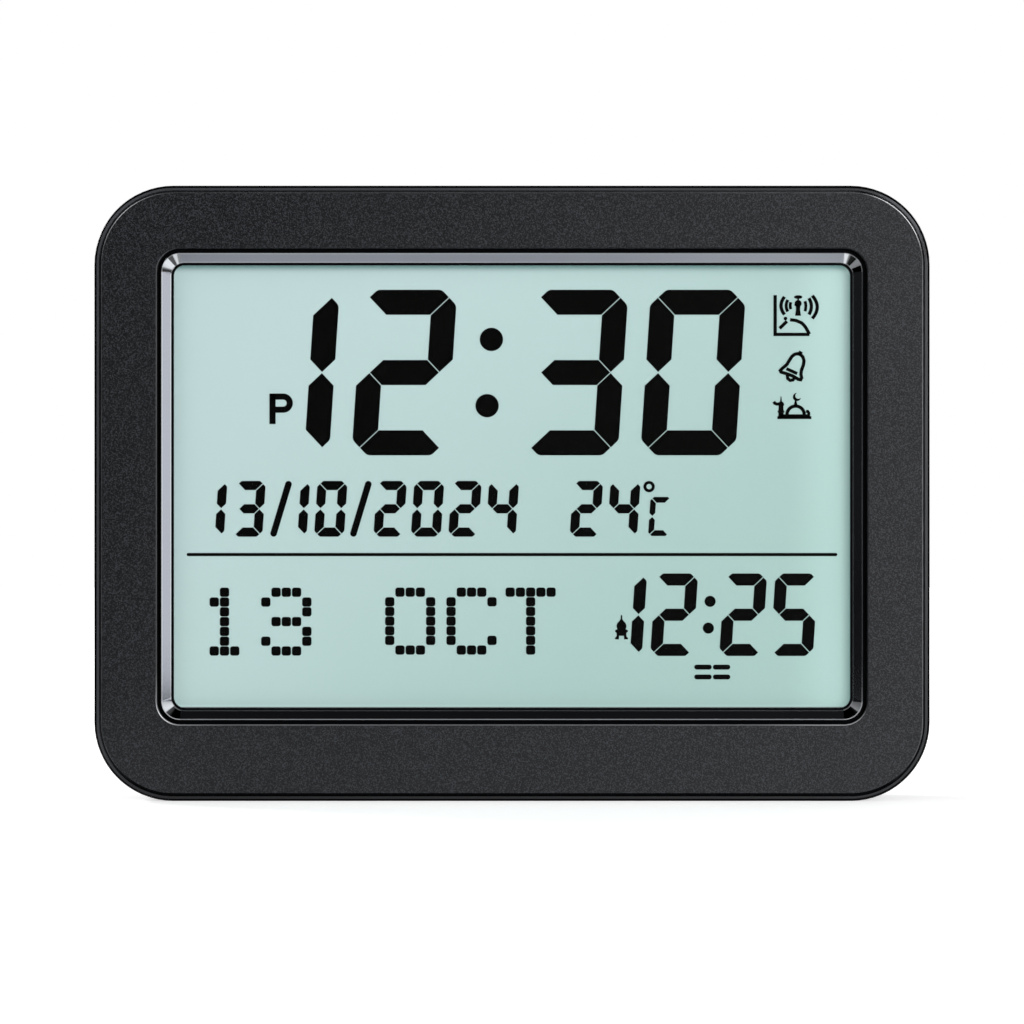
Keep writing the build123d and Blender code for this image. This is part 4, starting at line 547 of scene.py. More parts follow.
@dataclass(frozen=True)
class ChromedBevel(Finish):
    """Polished black ring with a sloping band of smoked chrome, with painted highlight lines on the band,
    painted light that makes it lighter towards the right, and painted reflections, bright and dark by turns,
    at its corners.

    A corner's painted reflection is a list of facets, pairs of an angle, in degrees from level, and a tone.
    """

    window: RoundedFrame = WINDOW
    throat: RoundedFrame = THROAT
    band_start_mm: float = 1.62
    line_mm: float = 0.30
    soft_mm: float = 0.1
    low_mm: Point = (27.0, 50.0)
    right_mm: Point = (-20.0, 125.0)
    chrome: Colour = (0.222, 0.236, 0.270)
    haze: Colour = (0.248, 0.266, 0.298)
    # Colour of the chrome's painted lighter tone towards the right.
    bright: Colour = (0.34, 0.36, 0.40)
    land: Colour = (0.0035, 0.0038, 0.0045)
    # Colour of the painted highlight lines along the band's edges.
    line: Colour = (0.36, 0.38, 0.41)
    # Colour of the painted highlight along the band's lower edge.
    glint: Colour = (0.75, 0.76, 0.79)
    # Colour of the corners' painted reflections.
    painted_reflection: Colour = (0.93, 0.96, 1.0)
    upper_left: tuple[Point, ...] = (
        (0, 0.06), (2, 0.03), (9, 0.05), (14, 0.30), (19, 0.85), (30, 1.0), (46, 0.95), (49, 0.10),
        (64, 0.085), (67, 0.70), (71, 0.85), (78, 0.80), (82, 0.30), (90, 0.28),
    )
    upper_right: tuple[Point, ...] = (
        (0, 0.02), (5, 0.004), (20, 0.004), (23, 0.25), (35, 0.30), (44, 0.27), (47, 0.015), (66, 0.02),
        (72, 0.25), (76, 0.80), (84, 0.92), (88, 0.80), (90, 0.45),
    )
    lower_left: tuple[Point, ...] = (
        (0, 0.35), (3, 0.62), (15, 0.85), (30, 0.95), (36, 0.80), (39, 0.07), (50, 0.045), (60, 0.012),
        (64, 0.004), (90, 0.004),
    )
    lower_right: tuple[Point, ...] = (
        (0, 0.015), (2, 0.02), (5, 0.15), (20, 0.20), (34, 0.26), (38, 0.02), (42, 0.004), (90, 0.004),
    )

    def cook(self, recipe: Recipe) -> None:
        """Writes black lands, the chromed band with its two painted highlight lines, the corners' painted
        reflections, and faint polishing.

        Args:
            recipe: The tree's writer.
        """
        inset = recipe.rounded_frame(self.window) * -1.0
        above = recipe.rounded_frame(self.throat)
        start, soft = self.band_start_mm, self.soft_mm
        band = inset.step(start, start + soft) * above.step(0.0, soft)
        inner_start = start + self.line_mm
        inner = inset.step(inner_start, inner_start + soft) * above.step(self.line_mm, self.line_mm + soft)
        place = recipe.place()
        low = place.part(2).fall(*(height * MM for height in self.low_mm))
        # Painted highlight: a light line along the outer edge of the band's lower part.
        low_highlight_line = inset.fall(inner_start, inner_start + soft) * low * band * 0.50
        towards_right = place.part(0).step(*(across * MM for across in self.right_mm))
        haze = recipe.noise(14.0, 3.0)
        fine = recipe.noise(1.2, 2.0)
        corner, tone = self.corner_tones(recipe)
        tone = inner * tone + (1.0 - inner) * (tone * 0.6 + 0.16)
        straight = (1.0 - corner) * (inner * 0.1 + 0.9)
        # Painted light: the chrome turns lighter towards the right.
        chrome = recipe.mix(towards_right, recipe.mix(haze, self.chrome, self.haze), self.bright)
        # Painted highlights: both edges of the band take the lighter line colour.
        colour = recipe.mix(inner, self.line, chrome)
        # Painted reflections: the corners' facets run from black to near white.
        colour = recipe.mix(corner, colour, recipe.mix(tone, BLACK, self.painted_reflection))
        colour = recipe.mix(band, self.land, colour)
        recipe.surface(
            {
                "Base Color": recipe.mix(low_highlight_line, colour, self.glint),
                "Metallic": band * (1.0 - low_highlight_line) * (straight + corner * tone.fall(0.01, 0.05)),
                "Roughness": haze * 0.04 + fine * 0.02 + 0.03 + band * 0.05,
                "Normal": recipe.bump(fine, 0.002),
                "Specular IOR Level": 0.3,
            }
        )

    def corner_tones(self, recipe: Recipe) -> tuple[Signal, Signal]:
        """Painted reflections, light and dark facets, on the band's four rounded corners.

        Args:
            recipe: The tree's writer.

        Returns:
            Whether a place is in a corner, and the tone of its painted reflection from 0 to 1.
        """
        x, z = recipe.from_middle(self.window.middle)
        side = abs(x) - (self.window.half[0] - self.window.radius)
        rise = abs(z) - (self.window.half[1] - self.window.radius)
        turn = rise.math("ARCTAN2", side) * (2.0 / math.pi)
        right, upper = x.step(-1.0, 1.0), z.step(-1.0, 1.0)
        tones = []
        for facets in (self.upper_right, self.upper_left, self.lower_right, self.lower_left):
            stops = [(angle / 90.0, tone) for angle, tone in facets]
            tones.append(recipe.add("ShaderNodeValToRGB", {"stops": stops}, {"Fac": turn}))
        top = tones[0] * right + tones[1] * (1.0 - right)
        base = tones[2] * right + tones[3] * (1.0 - right)
        return side.step(-0.05, 0.05) * rise.step(-0.05, 0.05), top * upper + base * (1.0 - upper)


@dataclass(frozen=True)
class ClearSheet(Finish):
    """Clear pane, glass or film that shows mostly by its gloss at a slant."""

    tint: Colour = (0.80, 0.88, 0.86)
    body: float = 0.03
    gloss: float = 0.35
    roughness: float = 0.05

    def cook(self, recipe: Recipe) -> None:
        """Writes a faint body, more opaque at a slant, and a little haze.

        Args:
            recipe: The tree's writer.
        """
        facing = recipe.add("ShaderNodeLayerWeight", None, {"Blend": 0.35}, "Facing")
        haze = recipe.noise(22.0, 2.0)
        recipe.surface(
            {
                "Base Color": recipe.mix(haze, self.tint, toned(self.tint, 0.97)),
                "Roughness": haze * 0.04 + self.roughness,
                "Alpha": facing ** 4.0 * self.gloss + self.body + haze * 0.001,
                "IOR": 1.5,
            }
        )


@dataclass(frozen=True)
class ReflectorFilm(Finish):
    """Pale green film behind the liquid crystal, darker and greener towards the lower right, with a painted
    glow all over that is strongest along its right and bottom edges, where the window's ring shades it.
    """

    bright: Colour = (0.398, 0.522, 0.517)
    deep: Colour = (0.290, 0.424, 0.396)
    # Colour of the painted shadow along the top and right edges.
    shaded: Colour = (0.105, 0.220, 0.212)
    pearl: Colour = (0.60, 0.72, 0.71)
    middle: Point = WINDOW_MIDDLE
    half: Point = (121.55, 79.5)
    # Strength of the film's painted glow.
    glow: float = 0.82

    def cook(self, recipe: Recipe) -> None:
        """Writes the slow drift of colour, painted shadow along the top and right edges and a fine pearly
        mottle.

        Args:
            recipe: The tree's writer.
        """
        x, z = recipe.from_middle(self.middle)
        half_x, half_z = self.half
        drift = x * (1.1 / half_x) - z * (0.75 / half_z)
        mottle = recipe.noise(0.35, 1.0)
        cloud = recipe.noise(70.0, 1.0)
        colour = recipe.mix((drift * 0.5 + cloud * 0.12 + 0.44).step(-0.25, 1.25), self.bright, self.deep)
        # Painted shadow of the window's ring along the top and right edges.
        top = z.step(half_z - 3.2, half_z + 0.6) ** 1.5
        right = x.step(half_x - 1.6, half_x + 0.9) ** 1.5 * 0.8
        colour = recipe.mix(top.at_least(right), colour, self.shaded)
        colour = recipe.mix(mottle * 0.06, colour, self.pearl)
        recipe.surface(
            {
                "Base Color": colour,
                "Roughness": mottle * 0.2 + 0.5,
                "Specular IOR Level": 0.15,
                # Painted light: the film glows, lightening it all over and filling in the ring's shade.
                "Emission Color": recipe.mix(self.light(x, z), BLACK, colour),
                "Emission Strength": self.glow,
            }
        )

    def light(self, x: Signal, z: Signal) -> Signal:
        """How brightly the film's painted glow shines: most along the right edge, the lamps' side, where the
        ring shades it, and along the bottom.

        Args:
            x: Millimetres to the right of the middle.
            z: Millimetres above it.

        Returns:
            A value from 0 to 1.
        """
        half_x, half_z = self.half
        right_edge_fill = x.step(half_x - 24.0, half_x - 3.0) * 0.26
        low_edge_fill = z.fall(-half_z, half_z * 0.2) * 0.07 + z.fall(0.3 - half_z, 1.3 - half_z) * 0.25
        return (right_edge_fill + low_edge_fill + 0.62).at_most(1.0)


@dataclass(frozen=True)
class SmoothPlastic(Finish):
    """Smooth moulded plastic, epoxy, rubber or paint with a fine orange-peel."""

    base: Colour = (0.8, 0.8, 0.78)
    roughness: float = 0.4
    peel_mm: float = 0.9
    depth_mm: float = 0.01
    sheen: float = 0.0
    gloss: float = 0.5

    def cook(self, recipe: Recipe) -> None:
        """Writes the peel, a slow change of tone and a few scuffs.

        Args:
            recipe: The tree's writer.
        """
        peel = recipe.noise(self.peel_mm, 3.0)
        tone = recipe.noise(18.0, 2.0)
        scuff = recipe.noise(3.0, 4.0, (1.0, 1.0, 0.15)).step(0.62, 0.80)
        recipe.surface(
            {
                "Base Color": recipe.mix(tone, toned(self.base, 0.88), toned(self.base, 1.12)),
                "Roughness": peel * 0.12 + scuff * 0.12 + (self.roughness - 0.06),
                "Normal": recipe.bump(peel, self.depth_mm),
                "Sheen Weight": self.sheen,
                "Specular IOR Level": self.gloss,
            }
        )


@dataclass(frozen=True)
class PlatedMetal(Finish):
    """Plated or drawn metal with streaks and spots."""

    base: Colour = (0.62, 0.61, 0.58)
    roughness: float = 0.28
    stretch: Axes = (1.0, 1.0, 0.1)

    def cook(self, recipe: Recipe) -> None:
        """Writes drawing streaks, cloudy plating and dull spots.

        Args:
            recipe: The tree's writer.
        """
        streak = recipe.noise(0.5, 3.0, self.stretch)
        dull = recipe.noise(4.0, 3.0).step(0.52, 0.74)
        colour = recipe.mix(streak, toned(self.base, 0.82), self.base)
        recipe.surface(
            {
                "Base Color": recipe.mix(dull * 0.35, colour, toned(self.base, 0.6)),
                "Metallic": 1.0,
                "Roughness": streak * 0.12 + dull * 0.15 + (self.roughness - 0.06),
                "Normal": recipe.bump(streak, 0.01),
            }
        )


@dataclass(frozen=True)
class SolderMask(Finish):
    """Green circuit board with copper runs under the lacquer and tinned dots."""

    pitch_mm: float = 5.0
    lacquer: Colour = (0.010, 0.115, 0.045)
    thin_lacquer: Colour = (0.016, 0.150, 0.060)
    over_copper: Colour = (0.035, 0.235, 0.090)
    tinned: Colour = (0.62, 0.62, 0.60)

    def cook(self, recipe: Recipe) -> None:
        """Writes the weave, runs of two widths and rows of tinned dots.

        Args:
            recipe: The tree's writer.
        """
        weave = recipe.noise(0.6, 2.0)
        runs = recipe.stripes("Z", 62.0, 1.2, 9.0).step(0.72, 0.78)
        feeds = recipe.stripes("X", 21.0, 2.0, 5.0).step(0.88, 0.92)
        copper = runs.at_least(feeds)
        tin = recipe.specks(self.pitch_mm, scatter=0.25).fall(0.14, 0.18)
        green = recipe.mix(weave * 0.4, self.lacquer, self.thin_lacquer)
        recipe.surface(
            {
                "Base Color": recipe.mix(tin, recipe.mix(copper, green, self.over_copper), self.tinned),
                "Metallic": tin,
                "Roughness": weave * 0.1 + 0.24 + tin * 0.1,
                "Normal": recipe.bump(copper * 0.6 + tin + weave * 0.1, 0.035),
                "Coat Weight": 0.3,
            }
        )


@dataclass(frozen=True)
class CellJacket(Finish):
    """Printed jacket of a battery that lies along X, with plain colour bands and bare ends."""

    nub_at_right: bool = True
    top_mm: float = 11.6
    line_mm: Point = (9.9, 11.0)
    bare_mm: Point = (-24.8, 24.15)
    body: Colour = (0.012, 0.055, 0.030)
    band: Colour = (0.60, 0.42, 0.10)
    ink: Colour = (0.3, 0.3, 0.3)
    steel: Colour = (0.62, 0.61, 0.59)

    def cook(self, recipe: Recipe) -> None:
        """Writes the bands along the cell, the bare ends and a rolled edge's shine.

        Args:
            recipe: The tree's writer.
        """
        along = recipe.place().part(0) * (1 / MM)
        if not self.nub_at_right:
            along = along * -1.0
        top = along.step(self.top_mm, self.top_mm + 0.2)
        line = along.between(*self.line_mm, 0.1)
        low_end, high_end = self.bare_mm
        bare = along.step(high_end, high_end + 0.1).at_least(along.fall(low_end - 0.1, low_end))
        print_grain = recipe.noise(0.5, 2.0)
        colour = recipe.mix(top.at_least(line), self.body, self.band)
        colour = recipe.mix(print_grain * 0.12, colour, self.ink)
        scratch = recipe.noise(0.8, 3.0, (0.12, 1.0, 1.0)).step(0.6, 0.8)
        recipe.surface(
            {
                "Base Color": recipe.mix(bare, colour, self.steel),
                "Metallic": bare.at_least(top * 0.7),
                "Roughness": print_grain * 0.08 + scratch * 0.12 + 0.22,
                "Coat Weight": (1.0 - bare) * 0.5,
                "Normal": recipe.bump(scratch, 0.006),
            }
        )


@dataclass(frozen=True)
class LayeredRubber(Finish):
    """Strip of many thin layers, or a flat cable of many cores."""

    first: Colour = (0.62, 0.40, 0.36)
    second: Colour = (0.05, 0.05, 0.05)
    dust: Colour = (0.4, 0.4, 0.4)
    scale: float = 160.0
    roughness: float = 0.6

    def cook(self, recipe: Recipe) -> None:
        """Writes the layers across X.

        Args:
            recipe: The tree's writer.
        """
        grit = recipe.noise(0.4, 2.0)
        line = recipe.stripes("X", self.scale).step(0.35, 0.65)
        recipe.surface(
            {
                "Base Color": recipe.mix(grit * 0.2, recipe.mix(line, self.first, self.second), self.dust),
                "Roughness": grit * 0.2 + (self.roughness - 0.1),
                "Normal": recipe.bump(line * 0.7 + grit * 0.3, 0.05),
            }
        )


@dataclass(frozen=True)
class FeltedPaper(Finish):
    """Pressed paper of a loudspeaker's cone."""

    base: Colour = (0.020, 0.020, 0.021)

    def cook(self, recipe: Recipe) -> None:
        """Writes fibres and their fuzz.

        Args:
            recipe: The tree's writer.
        """
        along, across = ((0.3, 1.0, 1.0), (1.0, 1.0, 0.3))
        fibre = recipe.noise(0.5, 4.0, along) * 0.5 + recipe.noise(0.5, 4.0, across) * 0.5
        recipe.surface(
            {
                "Base Color": recipe.mix(fibre.step(0.35, 0.7), self.base, toned(self.base, 2.4)),
                "Roughness": fibre * 0.2 + 0.7,
                "Normal": recipe.bump(fibre, 0.12),
                "Sheen Weight": 0.3,
            }
        )


class Shade(Enum):
    """Named finishes, by what they are on the clock."""

    FACE = BezelPlastic("face_grained_black")
    BACK = GrainedPlastic("back_grained_black", grain_mm=0.7)
    BEVEL = ChromedBevel("window_ring_black_and_chrome")
    WINDOW = ClearSheet("window_clear_moulding", body=0.0)
    GUIDE = ClearSheet("edge_lit_acrylic", tint=(0.88, 0.93, 0.92), body=0.22, gloss=0.3, roughness=0.1)
    REFLECTOR = ReflectorFilm("pale_green_reflector")
    INK = SmoothPlastic(
        "liquid_crystal_black", (0.0012, 0.0013, 0.0010),
        roughness=0.62, peel_mm=0.6, depth_mm=0.002, gloss=0.05,
    )
    SEAL = SmoothPlastic("cell_glue_line", (0.22, 0.23, 0.22), roughness=0.35, peel_mm=0.5, depth_mm=0.01)
    TRAY = SmoothPlastic(
        "white_display_tray", (0.78, 0.78, 0.75), roughness=0.42, peel_mm=1.1, depth_mm=0.012
    )
    CONTACT_STRIP = LayeredRubber("layered_contact_rubber")
    BOARD = SolderMask("green_circuit_board")
    EPOXY = SmoothPlastic(
        "moulded_epoxy_black", (0.018, 0.018, 0.020), roughness=0.5, peel_mm=0.35, depth_mm=0.02
    )
    CAN = PlatedMetal("drawn_metal_can", (0.66, 0.66, 0.64), roughness=0.24)
    SLEEVE = SmoothPlastic(
        "shrink_sleeve_dark_blue", (0.012, 0.020, 0.075), roughness=0.25, peel_mm=1.6, depth_mm=0.01
    )
    LAMP = SmoothPlastic("lamp_body_cream", (0.82, 0.80, 0.66), roughness=0.3, peel_mm=0.6, depth_mm=0.006)
    SCREW = PlatedMetal("zinc_plated_screw", (0.50, 0.50, 0.49), roughness=0.33, stretch=(1.0, 1.0, 1.0))
    BASKET = PlatedMetal("pressed_steel_basket", (0.34, 0.34, 0.35), roughness=0.38, stretch=(1.0, 1.0, 1.0))
    CONE = FeltedPaper("felted_paper_cone")
    FERRITE = SmoothPlastic(
        "sintered_ferrite", (0.045, 0.045, 0.048), roughness=0.62, peel_mm=0.3, depth_mm=0.05
    )
    KEY = SmoothPlastic("key_mid_grey", (0.115, 0.120, 0.128), roughness=0.46, peel_mm=0.35, depth_mm=0.012)
    SIGN = SmoothPlastic(
        "pad_printed_light_grey", (0.46, 0.47, 0.48), roughness=0.55, peel_mm=0.4, depth_mm=0.006
    )
    CELL = CellJacket("cell_jacket_nub_right")
    CELL_TURNED = CellJacket("cell_jacket_nub_left", nub_at_right=False)
    NICKEL = PlatedMetal("nickel_plated_spring", (0.74, 0.71, 0.65), roughness=0.22)
    PAD = SmoothPlastic(
        "soft_black_rubber", (0.020, 0.020, 0.021), roughness=0.72, peel_mm=0.5, depth_mm=0.04, sheen=0.2
    )
    LEAD = SmoothPlastic(
        "red_lead_insulation", (0.36, 0.022, 0.020), roughness=0.4, peel_mm=0.8, depth_mm=0.008
    )
    RIBBON = LayeredRubber(
        "grey_ribbon_cable", (0.46, 0.47, 0.49), (0.26, 0.27, 0.29), scale=110.0, roughness=0.45
    )

    def dress(self, *pieces: bpy.types.Object) -> None:
        """Gives pieces this finish."""
        self.value.dress(*pieces)


# ---- Modelling --------------------------------------------------------------------------------
class Bench:
    """Small modelling steps that the sub-assemblies share."""

    @staticmethod
    def clear() -> None:
        """Leaves object mode with nothing selected."""
        if bpy.context.object and bpy.context.object.mode != "OBJECT":
            bpy.ops.object.mode_set(mode="OBJECT")
        bpy.ops.object.select_all(action="DESELECT")

    @staticmethod
    def pick(*pieces: bpy.types.Object) -> None:
        """Selects just these pieces; the first is active.

        Args:
            pieces: The pieces.
        """
        Bench.clear()
        for piece in pieces:
            piece.select_set(True)
        bpy.context.view_layer.objects.active = pieces[0]

    @staticmethod
    def settle(piece: bpy.types.Object, matrix: Matrix | None = None) -> bpy.types.Object:
        """Puts a piece's place into its mesh, and its object at the origin.

        Args:
            piece: The piece.
            matrix: A further move, after its own.

        Returns:
            The piece.
        """
        piece.data.transform((matrix or Matrix()) @ piece.matrix_basis)
        piece.matrix_basis = Matrix()
        return piece

    @staticmethod
    def modify(piece: bpy.types.Object, kind: str, **settings: object) -> None:
        """Adds a modifier and applies it.

        Args:
            piece: The piece.
            kind: The modifier's type.
            settings: Its settings.
        """
        Bench.pick(piece)
        modifier = piece.modifiers.new(kind.lower(), kind)
        for name, value in settings.items():
            setattr(modifier, name, value)
        bpy.ops.object.modifier_apply(modifier=modifier.name)

    @staticmethod
    def join(name: str, pieces: list[bpy.types.Object]) -> bpy.types.Object:
        """Makes several meshes one.

        Args:
            name: The new piece's name.
            pieces: What to join.

        Returns:
            The piece.
        """
        Bench.pick(*pieces)
        if len(pieces) > 1:
            bpy.ops.object.join()
        pieces[0].name = pieces[0].data.name = name
        return pieces[0]

    @staticmethod
    def copy(piece: bpy.types.Object, matrix: Matrix) -> bpy.types.Object:
        """A copy with its own mesh.

        Args:
            piece: What to copy; it sits at the origin.
            matrix: Where the copy goes.

        Returns:
            The copy.
        """
        twin = piece.copy()
        twin.data = piece.data.copy()
        bpy.context.scene.collection.objects.link(twin)
        return Bench.settle(twin, matrix)

    @staticmethod
    def choose_faces(piece: bpy.types.Object, test: Callable[[bpy.types.MeshPolygon], bool]) -> None:
        """Selects in edit mode the faces that pass a test.

        Args:
            piece: The piece, which is left in edit mode.
            test: Takes a polygon and says whether it is wanted.
        """
        Bench.pick(piece)
        bpy.ops.object.mode_set(mode="EDIT")
        bpy.ops.mesh.select_all(action="DESELECT")
        bpy.ops.mesh.select_mode(type="FACE")
        bpy.ops.object.mode_set(mode="OBJECT")
        for polygon in piece.data.polygons:
            polygon.select = test(polygon)
        bpy.ops.object.mode_set(mode="EDIT")

    @staticmethod
    def extrude(length: float) -> None:
        """Extrudes what is selected in edit mode along Z, by a length in metres."""
        bpy.ops.mesh.extrude_region_move(TRANSFORM_OT_translate={"value": (0, 0, length)})

    @staticmethod
    def finish(piece: bpy.types.Object) -> bpy.types.Object:
        """Merges doubles, turns faces outwards and smooths edges of less than 35 degrees.

        Args:
            piece: The piece.

        Returns:
            The piece.
        """
        Bench.pick(piece)
        bpy.ops.object.mode_set(mode="EDIT")
        bpy.ops.mesh.select_all(action="SELECT")
        bpy.ops.mesh.remove_doubles(threshold=0.002 * MM)
        bpy.ops.mesh.normals_make_consistent(inside=False)
        bpy.ops.object.mode_set(mode="OBJECT")
        bpy.ops.object.shade_smooth_by_angle(angle=math.radians(35.0))
        return piece

    @staticmethod
    def attach(piece: bpy.types.Object, body: str, slot: str, shade: Shade) -> bpy.types.Object:
        """Rides a finished piece on a body and dresses it.

        Args:
            piece: The piece.
            body: The CAD body that it moves with.
            slot: The record's material slot; not used.
            shade: Its finish.

        Returns:
            The piece.
        """
        shade.dress(piece)
        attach(piece, body)
        LOG.info("%s rides on %s", piece.name, body)
        return piece


@dataclass
class FlatSigns:
    """Flat marks of one thickness, drawn in millimetres in the X-Z plane.

    Marks read from behind are drawn as they are read. Spread enlarges them about a height, so that marks
    behind the window look as large as they are drawn.
    """

    front: float
    back: float
    from_behind: bool = False
    spread: float = 1.0
    spread_height: float = 0.0
    parts: list[bpy.types.Object] = field(default_factory=list)

    @property
    def thickness(self) -> float:
        """Thickness of the marks, in millimetres."""
        return self.back - self.front

    def _flat_curve(self, loops: list[list[Point]], closed: bool, fill: bool) -> bpy.types.Object:
        """A flat curve made a mesh.

        Args:
            loops: Points of each loop.
            closed: Whether the loops close.
            fill: Whether they are filled.

        Returns:
            The mesh, drawn about the origin with its thickness along Z.
        """
        curve = bpy.data.curves.new("mark", "CURVE")
        curve.dimensions = "2D"
        curve.fill_mode = "BOTH" if fill else "NONE"
        curve.extrude = self.thickness * MM / 2
        for loop in loops:
            spline = curve.splines.new("POLY")
            spline.points.add(len(loop) - 1)
            for point, (x, z) in zip(spline.points, loop):
                point.co = (x * MM, z * MM, 0.0, 1.0)
            spline.use_cyclic_u = closed
        mark = bpy.data.objects.new("mark", curve)
        bpy.context.scene.collection.objects.link(mark)
        Bench.pick(mark)
        bpy.ops.object.convert(target="MESH")
        return bpy.context.object

    def outline(self, *loops: list[Point]) -> None:
        """Adds a filled shape: its outline, then its holes."""
        self.parts.append(self._flat_curve(list(loops), True, True))

    def stroke(self, points: list[Point], width: float, closed: bool = False) -> None:
        """Adds a line of even width.

        Args:
            points: The line's middle.
            width: Its width.
            closed: Whether it comes back to its start.
        """
        ribbon = self._flat_curve([points], closed, False)
        Bench.modify(ribbon, "SOLIDIFY", thickness=width * MM, offset=0.0, use_even_offset=True, use_rim=True)
        self.parts.append(ribbon)

    def disc(self, x: float, z: float, diameter: float) -> None:
        """Adds a round dot about its middle."""
        self.outline(arc(x, z, diameter / 2, 0.0, 345.0, 24))

    def rounded_square(self, size: float, radius: float) -> bpy.types.Object:
        """One rounded square about the origin, to be copied.

        Args:
            size: Its side.
            radius: Its corner radius.

        Returns:
            The mesh.
        """
        Bench.clear()
        bpy.ops.mesh.primitive_plane_add(size=size * MM)
        square = bpy.context.object
        bpy.ops.object.mode_set(mode="EDIT")
        bpy.ops.mesh.bevel(offset=radius * MM, segments=4, affect="VERTICES")
        bpy.ops.mesh.select_all(action="SELECT")
        Bench.extrude(self.thickness * MM)
        bpy.ops.mesh.select_all(action="SELECT")
        bpy.ops.transform.translate(value=(0, 0, -self.thickness * MM / 2))
        bpy.ops.object.mode_set(mode="OBJECT")
        return square

    def dots(self, rows: Iterable[str], start: Point, pitch: Point, size: float, radius: float) -> None:
        """Adds a dot-matrix character.

        Args:
            rows: Its rows from the top, with a # where a dot is lit.
            start: Middle of its upper left dot.
            pitch: Distance between columns and between rows.
            size: Side of a dot.
            radius: Its corner radius.
        """
        pattern = self.rounded_square(size, radius)
        for row, marks in enumerate(rows):
            for column, mark in enumerate(marks):
                if mark == "#":
                    x, z = start[0] + column * pitch[0], start[1] - row * pitch[1]
                    self.parts.append(Bench.copy(pattern, Matrix.Translation((x * MM, z * MM, 0.0))))
        bpy.data.objects.remove(pattern)

    def finish(self, name: str) -> bpy.types.Object:
        """Joins the marks and puts them at their depth.

        Args:
            name: The piece's name.

        Returns:
            The piece.
        """
        piece = Bench.join(name, self.parts)
        middle = (self.front + self.back) / 2 * MM
        stand_up = Matrix.Translation((0, middle, 0)) @ Matrix.Rotation(math.radians(90), 4, "X")
        if self.from_behind:
            stand_up = Matrix.Scale(-1, 4, (1, 0, 0)) @ stand_up
        rise = Matrix.Translation((0, 0, self.spread_height * MM))
        stand_up = rise @ Matrix.Diagonal((self.spread, 1.0, self.spread, 1.0)) @ rise.inverted() @ stand_up
        Bench.settle(piece, stand_up)
        return Bench.finish(piece)


def mirrored(side: list[Point]) -> list[Point]:
    """The other side of an even shape, in the order that goes on from this one."""
    return [(-x, z) for x, z in reversed(side)]


def arc(x: float, z: float, radius: float, start: float, end: float, count: int) -> list[Point]:
    """Points of an arc, between two angles in degrees from +X towards +Z."""
    turns = [math.radians(start + (end - start) * step / (count - 1)) for step in range(count)]
    return [(x + radius * math.cos(turn), z + radius * math.sin(turn)) for turn in turns]


# ---- Sub-assemblies ------------------------------------------------------------------------------
@dataclass(frozen=True)
class Softbox:
    """Rectangular lamp aimed at the middle of the clock; places and sizes in metres, power in watts."""

    name: str
    place: Axes
    size: Point
    power: float
    tint: Colour
    aim: Axes = (0.0, 0.0, 0.11)

    def build(self) -> None:
        """Adds the lamp, unseen by the camera."""
        data = bpy.data.lights.new(self.name, "AREA")
        data.shape = "RECTANGLE"
        data.size, data.size_y = self.size
        data.energy = self.power
        data.color = self.tint
        lamp = bpy.data.objects.new(self.name, data)
        lamp.location = self.place
        lamp.rotation_euler = (Vector(self.aim) - Vector(self.place)).to_track_quat("-Z", "Y").to_euler()
        lamp.visible_camera = False
        bpy.context.scene.collection.objects.link(lamp)


